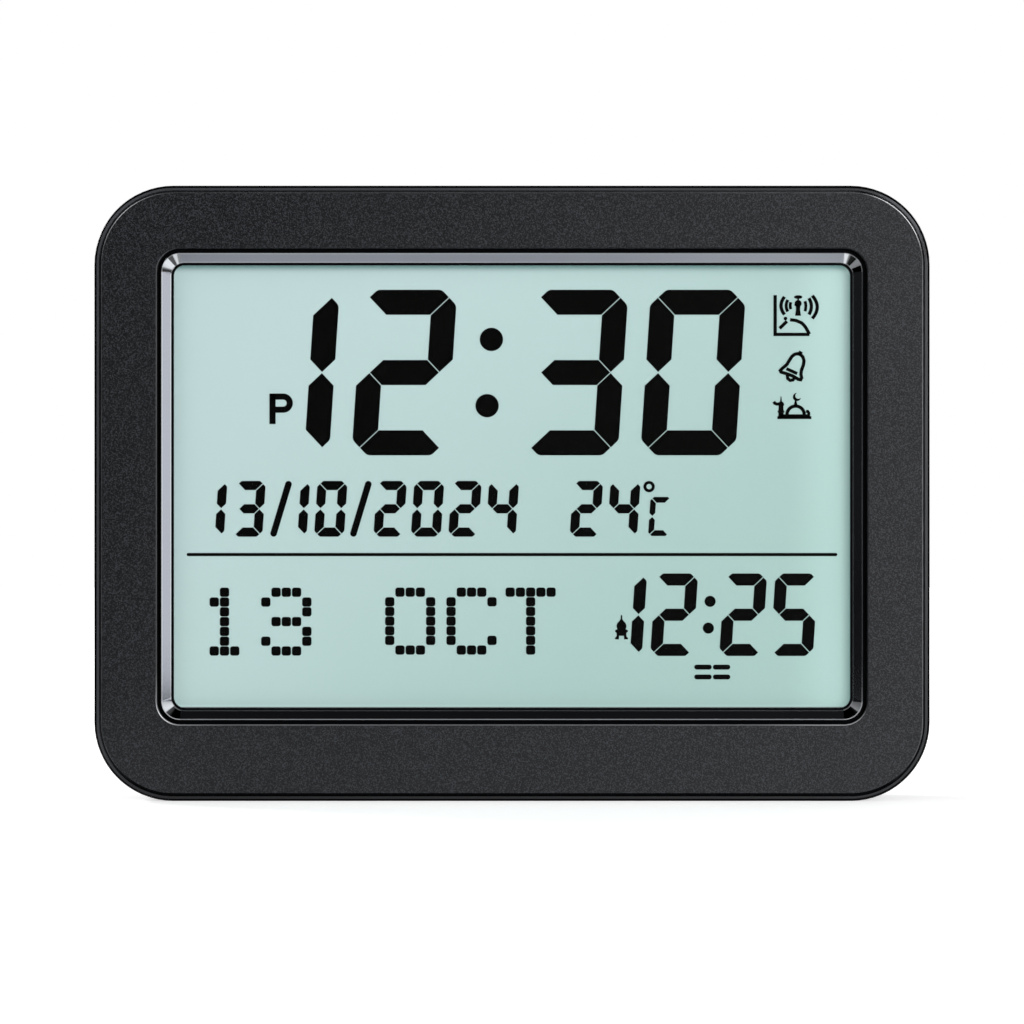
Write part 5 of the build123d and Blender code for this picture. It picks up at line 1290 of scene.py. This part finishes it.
@dataclass
class Studio:
    """Floor, soft lamps, white surroundings and the camera; distances in metres."""

    lens: float = 120.0
    sensor: float = 36.0
    frame_width_mm: float = 367.3
    floor_size: float = 7.0
    floor_tones: Point = (0.80, 0.84)
    floor_glow: Point = (0.60, 0.62)
    glow_reach: Point = (0.20, 1.2)
    mirrored_floor: float = 0.42
    mirrored_reach: Point = (0.18, 0.27)
    brightest: float = 1.2
    mirrored_room: Point = (0.02, 0.50)
    room_light: float = 0.32
    lamps: tuple[Softbox, ...] = (
        Softbox("right_softbox", (0.52, -0.345, 0.12), (0.24, 0.38), 0.57, WARM_WHITE),
        Softbox("upper_right_key", (0.62, -1.12, 0.23), (0.50, 0.50), 6.5, COOL_WHITE),
        Softbox("upper_left_fill", (-0.95, -0.85, 0.85), (0.7, 0.7), 1.6, COOL_WHITE),
        Softbox("rear_left_key", (-1.05, 0.60, 0.62), (0.35, 0.35), 9.5, WARM_WHITE),
        Softbox("rear_right_fill", (0.95, 0.75, 0.60), (0.7, 0.7), 3.0, COOL_WHITE),
    )

    def build(self) -> None:
        """Makes everything that isn't the object."""
        self.make_camera()
        self.make_floor()
        self.make_surroundings()
        for lamp in self.lamps:
            lamp.build()

    def make_camera(self) -> None:
        """Looks straight at the face from the distance at which it fills its part of the frame."""
        data = bpy.data.cameras.new("camera")
        data.lens = self.lens
        data.sensor_width = self.sensor
        distance = self.frame_width_mm * MM * data.lens / data.sensor_width
        camera = bpy.data.objects.new("camera", data)
        camera.location = (0.0, FACE_Y_MM * MM - distance, EYE_HEIGHT_MM * MM)
        camera.rotation_euler = (math.radians(90), 0.0, 0.0)
        bpy.context.scene.collection.objects.link(camera)
        bpy.context.scene.camera = camera

    def make_floor(self) -> None:
        """Pale floor, white in view but for a soft shadow; its mirror image is dark away from the clock."""
        Bench.clear()
        bpy.ops.mesh.primitive_circle_add(vertices=96, radius=self.floor_size / 2, fill_type="NGON")
        floor = bpy.context.object
        floor.name = "studio_floor"
        material = bpy.data.materials.new("studio_floor_white")
        material.use_nodes = True
        recipe = Recipe(material.node_tree)
        seen = recipe.ray("Camera") + recipe.ray("Transmission")
        mirrored = recipe.ray("Glossy")
        dull, pale = ((tone, tone, tone) for tone in self.floor_tones)
        place = recipe.place()
        reach = (place.part(0) ** 2.0 + place.part(1) ** 2.0) ** 0.5
        beyond = mirrored * reach.step(*self.mirrored_reach)
        near_glow, far_glow = self.floor_glow
        glow = reach.step(*self.glow_reach) * far_glow + near_glow
        level = (seen * glow + (mirrored - beyond) * self.mirrored_floor) * (1 / self.brightest)
        colour = recipe.mix(recipe.noise(160.0, 2.0), dull, pale)
        recipe.surface(
            {
                "Base Color": recipe.mix(beyond, colour, toned(WHITE, 0.02)),
                "Roughness": 0.9,
                "Specular IOR Level": 0.0,
                "Emission Color": recipe.grey(level),
                "Emission Strength": self.brightest,
            }
        )
        floor.data.materials.append(material)

    def make_surroundings(self) -> None:
        """White where it is seen, a dim room for light, and darker in front for reflections."""
        world = bpy.data.worlds.new("studio_room")
        bpy.context.scene.world = world
        world.use_nodes = True
        recipe = Recipe(world.node_tree)
        camera = recipe.ray("Camera")
        shiny = (recipe.ray("Glossy") + recipe.ray("Transmission")).at_most(1.0)
        direction = recipe.add("ShaderNodeTexCoord", None, None, "Generated")
        in_front, behind = self.mirrored_room
        room = direction.part(1).step(0.0, 0.55) * behind + in_front
        level = camera + (1.0 - camera) * (shiny * room + (1.0 - shiny) * self.room_light)
        light = recipe.add("ShaderNodeBackground", None, {"Color": recipe.grey(level)})
        recipe.add("ShaderNodeOutputWorld", None, {"Surface": light})


@dataclass(frozen=True)
class CrossScrew:
    """Pan-head screw with a cross recess, in millimetres."""

    head_diameter: float = 5.6
    head_height: float = 2.2
    head_edge: float = 0.7
    shank_diameter: float = 2.9
    length: float = 14.0
    tip_length: float = 2.0
    tip_share: float = 0.25
    blade: Axes = (3.4, 0.75, 3.0)
    blade_tip_share: Point = (0.45, 0.7)

    def model(self) -> bpy.types.Object:
        """The screw, seated at the origin with its head up +Z.

        Returns:
            The screw.
        """
        Bench.clear()
        radius, height = self.head_diameter / 2 * MM, self.head_height * MM
        middle = (0, 0, height / 2)
        bpy.ops.mesh.primitive_cylinder_add(vertices=40, radius=radius, depth=height, location=middle)
        head = Bench.settle(bpy.context.object)
        Bench.choose_faces(head, lambda face: face.normal.z > 0.9)
        bpy.ops.mesh.bevel(offset=self.head_edge * MM, segments=4, affect="EDGES")
        Bench.choose_faces(head, lambda face: face.normal.z < -0.9)
        bpy.ops.mesh.inset(thickness=radius - self.shank_diameter / 2 * MM)
        Bench.extrude(-(self.length - self.tip_length) * MM)
        Bench.extrude(-self.tip_length * MM)
        bpy.ops.transform.resize(value=(self.tip_share, self.tip_share, 1.0))
        bpy.ops.object.mode_set(mode="OBJECT")
        for blade in [self.model_blade(turn) for turn in (0.0, 90.0)]:
            Bench.modify(head, "BOOLEAN", operation="DIFFERENCE", object=blade, solver="EXACT")
            bpy.data.objects.remove(blade)
        return head

    def model_blade(self, turn: float) -> bpy.types.Object:
        """One tapered blade of the driver that the recess fits.

        Args:
            turn: How far it is turned, in degrees.

        Returns:
            The blade, half sunk in the head.
        """
        Bench.clear()
        top = (0, 0, self.head_height * MM)
        sides = tuple(side * MM for side in self.blade)
        bpy.ops.mesh.primitive_cube_add(size=1.0, scale=sides, location=top)
        blade = Bench.settle(bpy.context.object)
        Bench.choose_faces(blade, lambda face: face.normal.z < -0.9)
        bpy.ops.transform.resize(value=(*self.blade_tip_share, 1.0), center_override=top)
        bpy.ops.object.mode_set(mode="OBJECT")
        return Bench.settle(blade, Matrix.Rotation(math.radians(turn), 4, "Z"))


@dataclass
class Case:
    """The two halves of the case, the battery door and the marks on the back, in millimetres."""

    screw: CrossScrew = CrossScrew()
    screw_places: tuple[Point, ...] = (
        (128, 208), (-128, 208), (128, 13), (-128, 13), (139, 110.5), (-139, 110.5),
    )
    seat_y: float = 5.0
    first_turn: float = 17.0
    further_turn: float = 31.0
    arrow_height: float = 0.25
    arrow_below_top: float = 13.0
    arrow_half: float = 4.2
    arrow_length: float = 6.0
    bay_floor_y: float = -0.1
    sign_height: float = 0.2
    sign_x: float = 18.0
    sign_half: float = 2.0
    sign_width: float = 0.8

    def build(self, nodes: dict[str, bpy.types.Object]) -> None:
        """Dresses the mouldings and adds the screws and marks.

        Args:
            nodes: The CAD nodes by name.
        """
        Shade.FACE.dress(nodes["front_frame"])
        Shade.BACK.dress(nodes["rear_cover"], nodes["battery_door"])
        self.make_screws()
        self.make_door_arrow()
        self.make_polarity_signs()

    def make_screws(self) -> None:
        """Six case screws at the bottom of their wells, each turned its own way."""
        pattern = self.screw.model()
        face_back = Matrix.Rotation(math.radians(-90), 4, "X")
        screws = []
        for index, (x, z) in enumerate(self.screw_places):
            place = Matrix.Translation((x * MM, self.seat_y * MM, z * MM))
            turn = Matrix.Rotation(math.radians(self.first_turn + self.further_turn * index), 4, "Z")
            screws.append(Bench.copy(pattern, place @ face_back @ turn))
        bpy.data.objects.remove(pattern)
        piece = Bench.finish(Bench.join("case_screw_set", screws))
        Bench.attach(piece, "housing", "screw_steel", Shade.SCREW)
        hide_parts("case_screws")

    def make_door_arrow(self) -> None:
        """Raised arrow that says which way the battery door's latch is pressed."""
        _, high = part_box("battery_door")
        top = high.z / MM - self.arrow_below_top
        base = top - self.arrow_length
        signs = FlatSigns(BACK_Y_MM, BACK_Y_MM + self.arrow_height)
        signs.outline([(-self.arrow_half, base), (self.arrow_half, base), (0.0, top)])
        Bench.attach(signs.finish("battery_door_arrow"), "battery_door", "case_black", Shade.BACK)

    def make_polarity_signs(self) -> None:
        """Raised plus and minus signs on the floor of the battery bay, by each cell's end."""
        signs = FlatSigns(self.bay_floor_y, self.bay_floor_y + self.sign_height)
        half = self.sign_half
        for name, plus in (("lower", self.sign_x), ("middle", -self.sign_x), ("upper", self.sign_x)):
            low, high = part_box(f"battery_cell_{name}")
            z = (low.z + high.z) / 2 / MM
            signs.stroke([(plus - half, z), (plus + half, z)], self.sign_width)
            signs.stroke([(plus, z - half), (plus, z + half)], self.sign_width)
            signs.stroke([(-plus - half, z), (-plus + half, z)], self.sign_width)
        Bench.attach(signs.finish("bay_polarity_marks"), "housing", "case_black", Shade.BACK)


@dataclass
class Display:
    """Window, liquid crystal cell, its marks and what lights it, in millimetres."""

    marks_front: float = -10.2
    marks_back: float = -10.0
    slant: float = 0.065
    spread: float = 1.0056
    window_corner: float = 4.0
    window_edge: float = 0.12
    ink_gap: float = 0.04
    dot: float = 3.33
    dot_corner: float = 0.9
    dot_pitch: Point = (3.67, 3.46)
    clear_nodes: tuple[str, ...] = ("window_lens", "front_polariser", "lcd_front_glass")

    def make_window(self) -> None:
        """The clear moulding with the cell's front glass bonded behind it, as one stepped pane."""
        low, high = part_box("window_lens")
        glass_low, glass_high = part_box("lcd_front_glass")
        Bench.clear()
        bpy.ops.mesh.primitive_plane_add(size=1.0)
        pane = Bench.settle(bpy.context.object, Matrix.Diagonal((high.x - low.x, high.z - low.z, 1.0, 1.0)))
        bpy.ops.object.mode_set(mode="EDIT")
        bpy.ops.mesh.select_all(action="SELECT")
        bpy.ops.mesh.bevel(offset=self.window_corner * MM, segments=8, affect="VERTICES")
        bpy.ops.mesh.select_all(action="SELECT")
        Bench.extrude(high.y - low.y)
        Bench.choose_faces(pane, lambda face: face.normal.z < -0.9 and abs(face.center.z) < 0.1 * MM)
        bpy.ops.mesh.inset(thickness=glass_low.x - low.x)
        Bench.extrude(-(glass_high.y - high.y - self.ink_gap * MM))
        bpy.ops.object.mode_set(mode="OBJECT")
        place = Matrix.Translation((0, high.y, (low.z + high.z) / 2))
        Bench.settle(pane, place @ Matrix.Rotation(math.radians(90), 4, "X"))
        Bench.join("display_window", [pane])
        edge = self.window_edge * MM
        Bench.modify(Bench.finish(pane), "BEVEL", width=edge, segments=2, limit_method="ANGLE")
        Bench.attach(Bench.finish(pane), "housing", "clear_lens", Shade.WINDOW)
        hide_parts(*self.clear_nodes)

    def build(self, nodes: dict[str, bpy.types.Object]) -> None:
        """Dresses the stack and draws the marks beside the figures.

        Args:
            nodes: The CAD nodes by name.
        """
        Shade.BEVEL.dress(nodes["window_trim"])
        self.make_window()
        Shade.WINDOW.dress(*(nodes[name] for name in self.clear_nodes))
        Shade.INK.dress(nodes["lcd_segments"])
        Shade.SEAL.dress(nodes["lcd_seal"])
        Shade.REFLECTOR.dress(nodes["lcd_reflector"], nodes["lcd_rear_glass"])
        Shade.GUIDE.dress(nodes["light_guide"])
        Shade.BOARD.dress(nodes["backlight_strip"])
        Shade.LAMP.dress(nodes["backlight_leds"])
        Shade.TRAY.dress(nodes["lcd_holder"])
        Shade.CONTACT_STRIP.dress(nodes["zebra_strip"])
        for name, draw in (
            ("lcd_afternoon_letter", self.draw_afternoon),
            ("lcd_celsius_letter", self.draw_celsius),
            ("lcd_month_letters", self.draw_month),
            ("lcd_minaret_mark", self.draw_minaret),
            ("lcd_call_mark", self.draw_call),
            ("lcd_bell_mark", self.draw_bell),
            ("lcd_dome_mark", self.draw_dome),
        ):
            signs = FlatSigns(self.marks_front, self.marks_back)
            signs.spread, signs.spread_height = self.spread, EYE_HEIGHT_MM
            draw(signs)
            Bench.attach(signs.finish(name), "housing", "segment_ink", Shade.INK)

    def draw_afternoon(self, signs: FlatSigns) -> None:
        """The letter P beside the hours.

        Args:
            signs: The marks to add to.
        """
        left, right, low, high, line, radius = -87.0, -78.6, 135.35, 146.3, 2.2, 2.35
        bowl = arc(right - line / 2 - radius, high - line / 2 - radius, radius, 90.0, -90.0, 14)
        signs.stroke([(left + line / 2, low), (left + line / 2, high - 0.02)], line)
        signs.stroke([(left + 0.3, bowl[0][1]), *bowl, (left + 0.3, bowl[-1][1])], line)

    def draw_celsius(self, signs: FlatSigns) -> None:
        """The segment C after the degree ring, mitred like the figures.

        Args:
            signs: The marks to add to.
        """
        x, z, half_w, half_h, line, gap = 53.0, 102.2, 3.75, 7.0, 2.05, 0.22
        cut = 0.62 * line
        out, back = (cut - gap) / 2, (cut + gap) / 2

        def lean(points: list[Point]) -> list[Point]:
            """Slants points with the figures."""
            return [(x + px + self.slant * pz, z + pz) for px, pz in points]

        bar = [
            (cut - half_w, half_h),
            (half_w - cut, half_h),
            (half_w - back, half_h - out),
            (half_w - line - gap, half_h - line),
            (line + gap - half_w, half_h - line),
            (back - half_w, half_h - out),
        ]
        post = [
            (-half_w, line / 2 + gap),
            (-half_w, half_h - cut),
            (out - half_w, half_h - back),
            (line - half_w, half_h - line - gap),
            (line - half_w, line / 2 + gap),
            (line / 2 - half_w, gap),
        ]
        for points in (bar, post):
            signs.outline(lean(points))
            signs.outline(lean([(px, -pz) for px, pz in points]))

    def draw_month(self, signs: FlatSigns) -> None:
        """The month's three dot-matrix letters.

        Args:
            signs: The marks to add to.
        """
        letters = {
            -43.85: (".###.", "#...#", "#...#", "#...#", "#...#", "#...#", ".###."),
            -21.85: (".###.", "#...#", "#....", "#....", "#....", "#...#", ".###."),
            -0.65: ("#####", "..#..", "..#..", "..#..", "..#..", "..#..", "..#.."),
        }
        for left, rows in letters.items():
            signs.dots(rows, (left, 75.05), self.dot_pitch, self.dot, self.dot_corner)

    def draw_minaret(self, signs: FlatSigns) -> None:
        """Small solid domed tower before the second time, on two feet.

        Args:
            signs: The marks to add to.
        """
        x, low = 39.28, 58.1
        side = [(0.24, 8.7), (0.27, 7.3), (0.75, 6.6), (1.45, 5.85), (1.78, 5.0), (1.70, 4.3), (1.50, 3.65),
                (2.25, 3.3), (2.3, 2.75), (1.75, 2.3), (1.75, 1.1), (2.35, 0.5), (2.3, 0.05), (0.95, 0.0),
                (0.85, 1.3)]
        signs.outline([(x + px, low + pz) for px, pz in side + mirrored(side)])

    def draw_call(self, signs: FlatSigns) -> None:
        """Call sounded over a horizon: an upright speaker, waves to both sides, and a low sun curve.

        Args:
            signs: The marks to add to.
        """
        x, z, line = 102.65, 177.8, 1.2
        signs.outline([(x + 1.5 * px, 180.9 + 0.65 * pz) for px, pz in arc(0.0, 0.0, 1.0, 0.0, 345.0, 20)])
        signs.stroke([(x, z + 1.0), (x, 180.6)], 0.6)
        signs.disc(x, z + 0.8, 2.5)
        signs.disc(x - 0.85, z + 0.3, 1.0)
        body = [(-0.8, 0.4), (0.8, 0.4), (0.7, -1.6), (1.0, -3.6), (-1.1, -3.6), (-0.8, -1.6)]
        signs.outline([(x + px, z + pz) for px, pz in body])
        left_waves = ((2.85, 1.25, 1.05), (4.3, 2.1, 1.1), (6.15, 3.2, line))
        for bulge, half, width in left_waves:
            signs.stroke(self.wave(x, z, -bulge, half), width)
        right_waves = ((2.75, 1.8, 1.05, 0.2), (4.75, 2.95, line, 0.25), (6.85, 4.1, line, 0.5))
        for bulge, half, width, drop in right_waves:
            signs.stroke(self.wave(x, z - drop, bulge, half), width)
        sun = [(106.7, 167.55), (105.5, 169.8), (104.8, 170.75), (103.85, 171.65), (101.85, 172.5),
               (99.75, 172.75)]
        signs.stroke([(94.4, 181.6), (94.4, 167.5), (106.7, 167.5)], line)
        signs.stroke(sun, line)
        signs.stroke([(98.65, 172.2), (96.0, 169.65)], line)
        signs.disc(98.1, 173.2, 1.3)

    @staticmethod
    def wave(x: float, z: float, bulge: float, half: float) -> list[Point]:
        """One sound wave's line beside its source; a bulge of less than 0 lies to the left."""
        steps = [step / 5.0 for step in range(-5, 6)]
        return [(x + bulge * (1.0 - 0.19 * t * t * half / 3.0), z + half * t) for t in steps]

    def draw_bell(self, signs: FlatSigns) -> None:
        """Outline of a tilted bell with a line across its mouth and a clapper.

        Args:
            signs: The marks to add to.
        """
        body = [(96.25, 154.55), (97.0, 155.35), (98.65, 156.75), (99.55, 158.3), (100.4, 159.6),
                (101.35, 160.35), (102.4, 160.6), (103.5, 160.3), (104.35, 159.4), (104.75, 158.1),
                (104.55, 156.6), (103.85, 154.7), (103.65, 153.1), (103.9, 151.9), (103.55, 151.25),
                (102.7, 151.4), (100.7, 152.6), (98.2, 153.5), (96.55, 153.95)]
        signs.stroke(body, 1.2, closed=True)
        signs.stroke([(98.45, 155.2), (102.3, 153.45)], 1.15)
        signs.stroke([(103.0, 160.1), (103.7, 161.4)], 1.4)
        signs.stroke([(98.75, 152.9), (98.9, 151.7), (99.75, 151.0), (100.75, 151.15), (101.3, 151.85)], 1.15)

    def draw_dome(self, signs: FlatSigns) -> None:
        """Dome on a plinth with a stout tower at its left, under a crescent.

        Args:
            signs: The marks to add to.
        """
        x, base = 101.75, 137.65
        signs.stroke([(95.2, base), (107.4, base)], 1.0)
        signs.outline([(95.9, base), (106.9, base), (106.8, base + 1.2), (96.1, base + 1.2)])
        dome = arc(0.0, 0.0, 1.0, 180.0, 0.0, 15)
        signs.stroke([(x + 3.1 * px, base + 1.1 + 3.05 * pz) for px, pz in dome], 1.2)
        finial = [(-0.7, 4.2), (0.7, 4.2), (0.28, 6.1), (-0.28, 6.1)]
        signs.outline([(x + px, base + pz) for px, pz in finial])
        moon = 1.45
        outer = arc(x + 0.45, base + 7.4, moon, 95.0, 335.0, 20)
        signs.outline(outer + arc(x + 0.95, base + 7.85, moon * 0.76, 318.0, 112.0, 16))
        tower = [(-0.95, 0.0), (-0.9, 1.7), (-1.3, 2.1), (-0.9, 2.7), (-0.85, 4.1), (-1.15, 4.7),
                 (-0.75, 5.5), (-0.3, 5.9), (-0.12, 7.6)]
        signs.outline([(96.5 + px, base + pz) for px, pz in tower + mirrored(tower)])
        banner = [(93.9, 5.75), (94.25, 5.15), (95.0, 4.85), (95.8, 4.95)]
        hook = [(105.5, 2.35), (106.1, 2.2), (106.45, 1.65), (106.45, 0.6)]
        for points, width in ((banner, 1.1), (hook, 1.05)):
            signs.stroke([(px, base + pz) for px, pz in points], width)


@dataclass
class KeyColumn:
    """Six keys, their switches and board, and a printed sign beside each, in millimetres."""

    names: tuple[str, ...] = ("mode", "set", "up", "down", "alarm", "light")
    sign_x: float = 92.0
    print_height: float = 0.06

    def build(self, nodes: dict[str, bpy.types.Object]) -> None:
        """Dresses the keys and prints their signs.

        Args:
            nodes: The CAD nodes by name.
        """
        for name in self.names:
            Shade.KEY.dress(nodes[f"{name}_key"])
            Shade.CAN.dress(nodes[f"{name}_plunger"])
        Shade.EPOXY.dress(nodes["key_switches"])
        Shade.BOARD.dress(nodes["key_pcb"])
        Shade.SCREW.dress(nodes["key_pcb_screws"])
        Shade.RIBBON.dress(nodes["key_ribbon"])
        signs = FlatSigns(BACK_Y_MM, BACK_Y_MM + self.print_height, from_behind=True)
        drawings = (
            self.draw_mode, self.draw_set, self.draw_up, self.draw_down, self.draw_alarm, self.draw_light,
        )
        for name, draw in zip(self.names, drawings):
            low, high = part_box(f"{name}_key")
            draw(signs, -self.sign_x, (low.z + high.z) / 2 / MM)
        Bench.attach(signs.finish("key_signs"), "housing", "case_black", Shade.SIGN)

    def draw_mode(self, signs: FlatSigns, x: float, z: float) -> None:
        """A clock face."""
        signs.stroke(arc(x, z, 2.7, 0.0, 348.0, 30), 0.55, closed=True)
        signs.stroke([(x, z + 1.8), (x, z), (x + 1.3, z - 0.6)], 0.5)

    def draw_set(self, signs: FlatSigns, x: float, z: float) -> None:
        """A tick."""
        signs.stroke([(x - 2.5, z), (x - 0.7, z - 1.9), (x + 2.7, z + 2.2)], 0.8)

    def draw_up(self, signs: FlatSigns, x: float, z: float) -> None:
        """A triangle that points up."""
        signs.outline([(x - 2.6, z - 1.9), (x + 2.6, z - 1.9), (x, z + 2.4)])

    def draw_down(self, signs: FlatSigns, x: float, z: float) -> None:
        """A triangle that points down."""
        signs.outline([(x - 2.6, z + 1.9), (x, z - 2.4), (x + 2.6, z + 1.9)])

    def draw_alarm(self, signs: FlatSigns, x: float, z: float) -> None:
        """A bell.

        Args:
            signs: The signs to add to.
            x: Its middle.
            z: Its middle.
        """
        side = [(-2.7, -1.7), (-2.0, -0.9), (-1.8, 0.9), (-1.1, 2.1)]
        signs.outline([(x + px, z + pz) for px, pz in side + [(0.0, 2.6)] + mirrored(side)])
        signs.outline(arc(x, z - 2.1, 0.8, 180.0, 360.0, 9))

    def draw_light(self, signs: FlatSigns, x: float, z: float) -> None:
        """A lamp with rays.

        Args:
            signs: The signs to add to.
            x: Its middle.
            z: Its middle.
        """
        signs.disc(x, z, 2.4)
        for turn in range(8):
            angle = math.radians(45.0 * turn)
            ray = [(x + r * math.cos(angle), z + r * math.sin(angle)) for r in (1.9, 2.9)]
            signs.stroke(ray, 0.5)


@dataclass
class Electronics:
    """Boards and what is soldered to them, the speaker and the leads, by their finish."""

    finishes: tuple[tuple[Shade, tuple[str, ...]], ...] = (
        (Shade.BOARD, ("main_pcb",)),
        (Shade.EPOXY, ("controller_chip", "thermistor")),
        (Shade.CAN, ("quartz_crystal",)),
        (Shade.SLEEVE, ("capacitors",)),
        (Shade.SCREW, ("holder_screws", "pcb_screws", "speaker_screws", "case_screws")),
        (Shade.BASKET, ("speaker_frame",)),
        (Shade.CONE, ("speaker_cone",)),
        (Shade.FERRITE, ("speaker_magnet",)),
        (Shade.LEAD, ("battery_leads", "speaker_leads")),
    )

    def build(self, nodes: dict[str, bpy.types.Object]) -> None:
        """Dresses the parts inside the case."""
        for shade, names in self.finishes:
            shade.dress(*(nodes[name] for name in names))


@dataclass
class PowerBay:
    """Cells and their contacts."""

    cells: tuple[str, ...] = ("lower", "upper")
    turned_cells: tuple[str, ...] = ("middle",)
    contacts: tuple[str, ...] = ("terminal_negative", "terminal_positive", "bridge_left", "bridge_right")

    def build(self, nodes: dict[str, bpy.types.Object]) -> None:
        """Dresses the cells by the way they lie, and their contacts.

        Args:
            nodes: The CAD nodes by name.
        """
        Shade.CELL.dress(*(nodes[f"battery_cell_{name}"] for name in self.cells))
        Shade.CELL_TURNED.dress(*(nodes[f"battery_cell_{name}"] for name in self.turned_cells))
        Shade.NICKEL.dress(*(nodes[f"battery_{name}"] for name in self.contacts))


@dataclass
class Stand:
    """Folding leg and its rubber pad."""

    leg: str = "stand_leg"
    pad: str = "stand_foot_pad"

    def build(self, nodes: dict[str, bpy.types.Object]) -> None:
        """Dresses the leg and its pad."""
        Shade.BACK.dress(nodes[self.leg])
        Shade.PAD.dress(nodes[self.pad])


def main() -> None:
    """Builds the studio and every sub-assembly."""
    logging.basicConfig(level=logging.INFO, format="%(name)s: %(message)s")
    bpy.context.scene.view_settings.view_transform = "Standard"
    Studio().build()
    nodes = frame["nodes"]
    for part in (Case(), Display(), KeyColumn(), Electronics(), PowerBay(), Stand()):
        part.build(nodes)
        LOG.info("%s done", type(part).__name__)


if __name__ == "__main__":
    main()
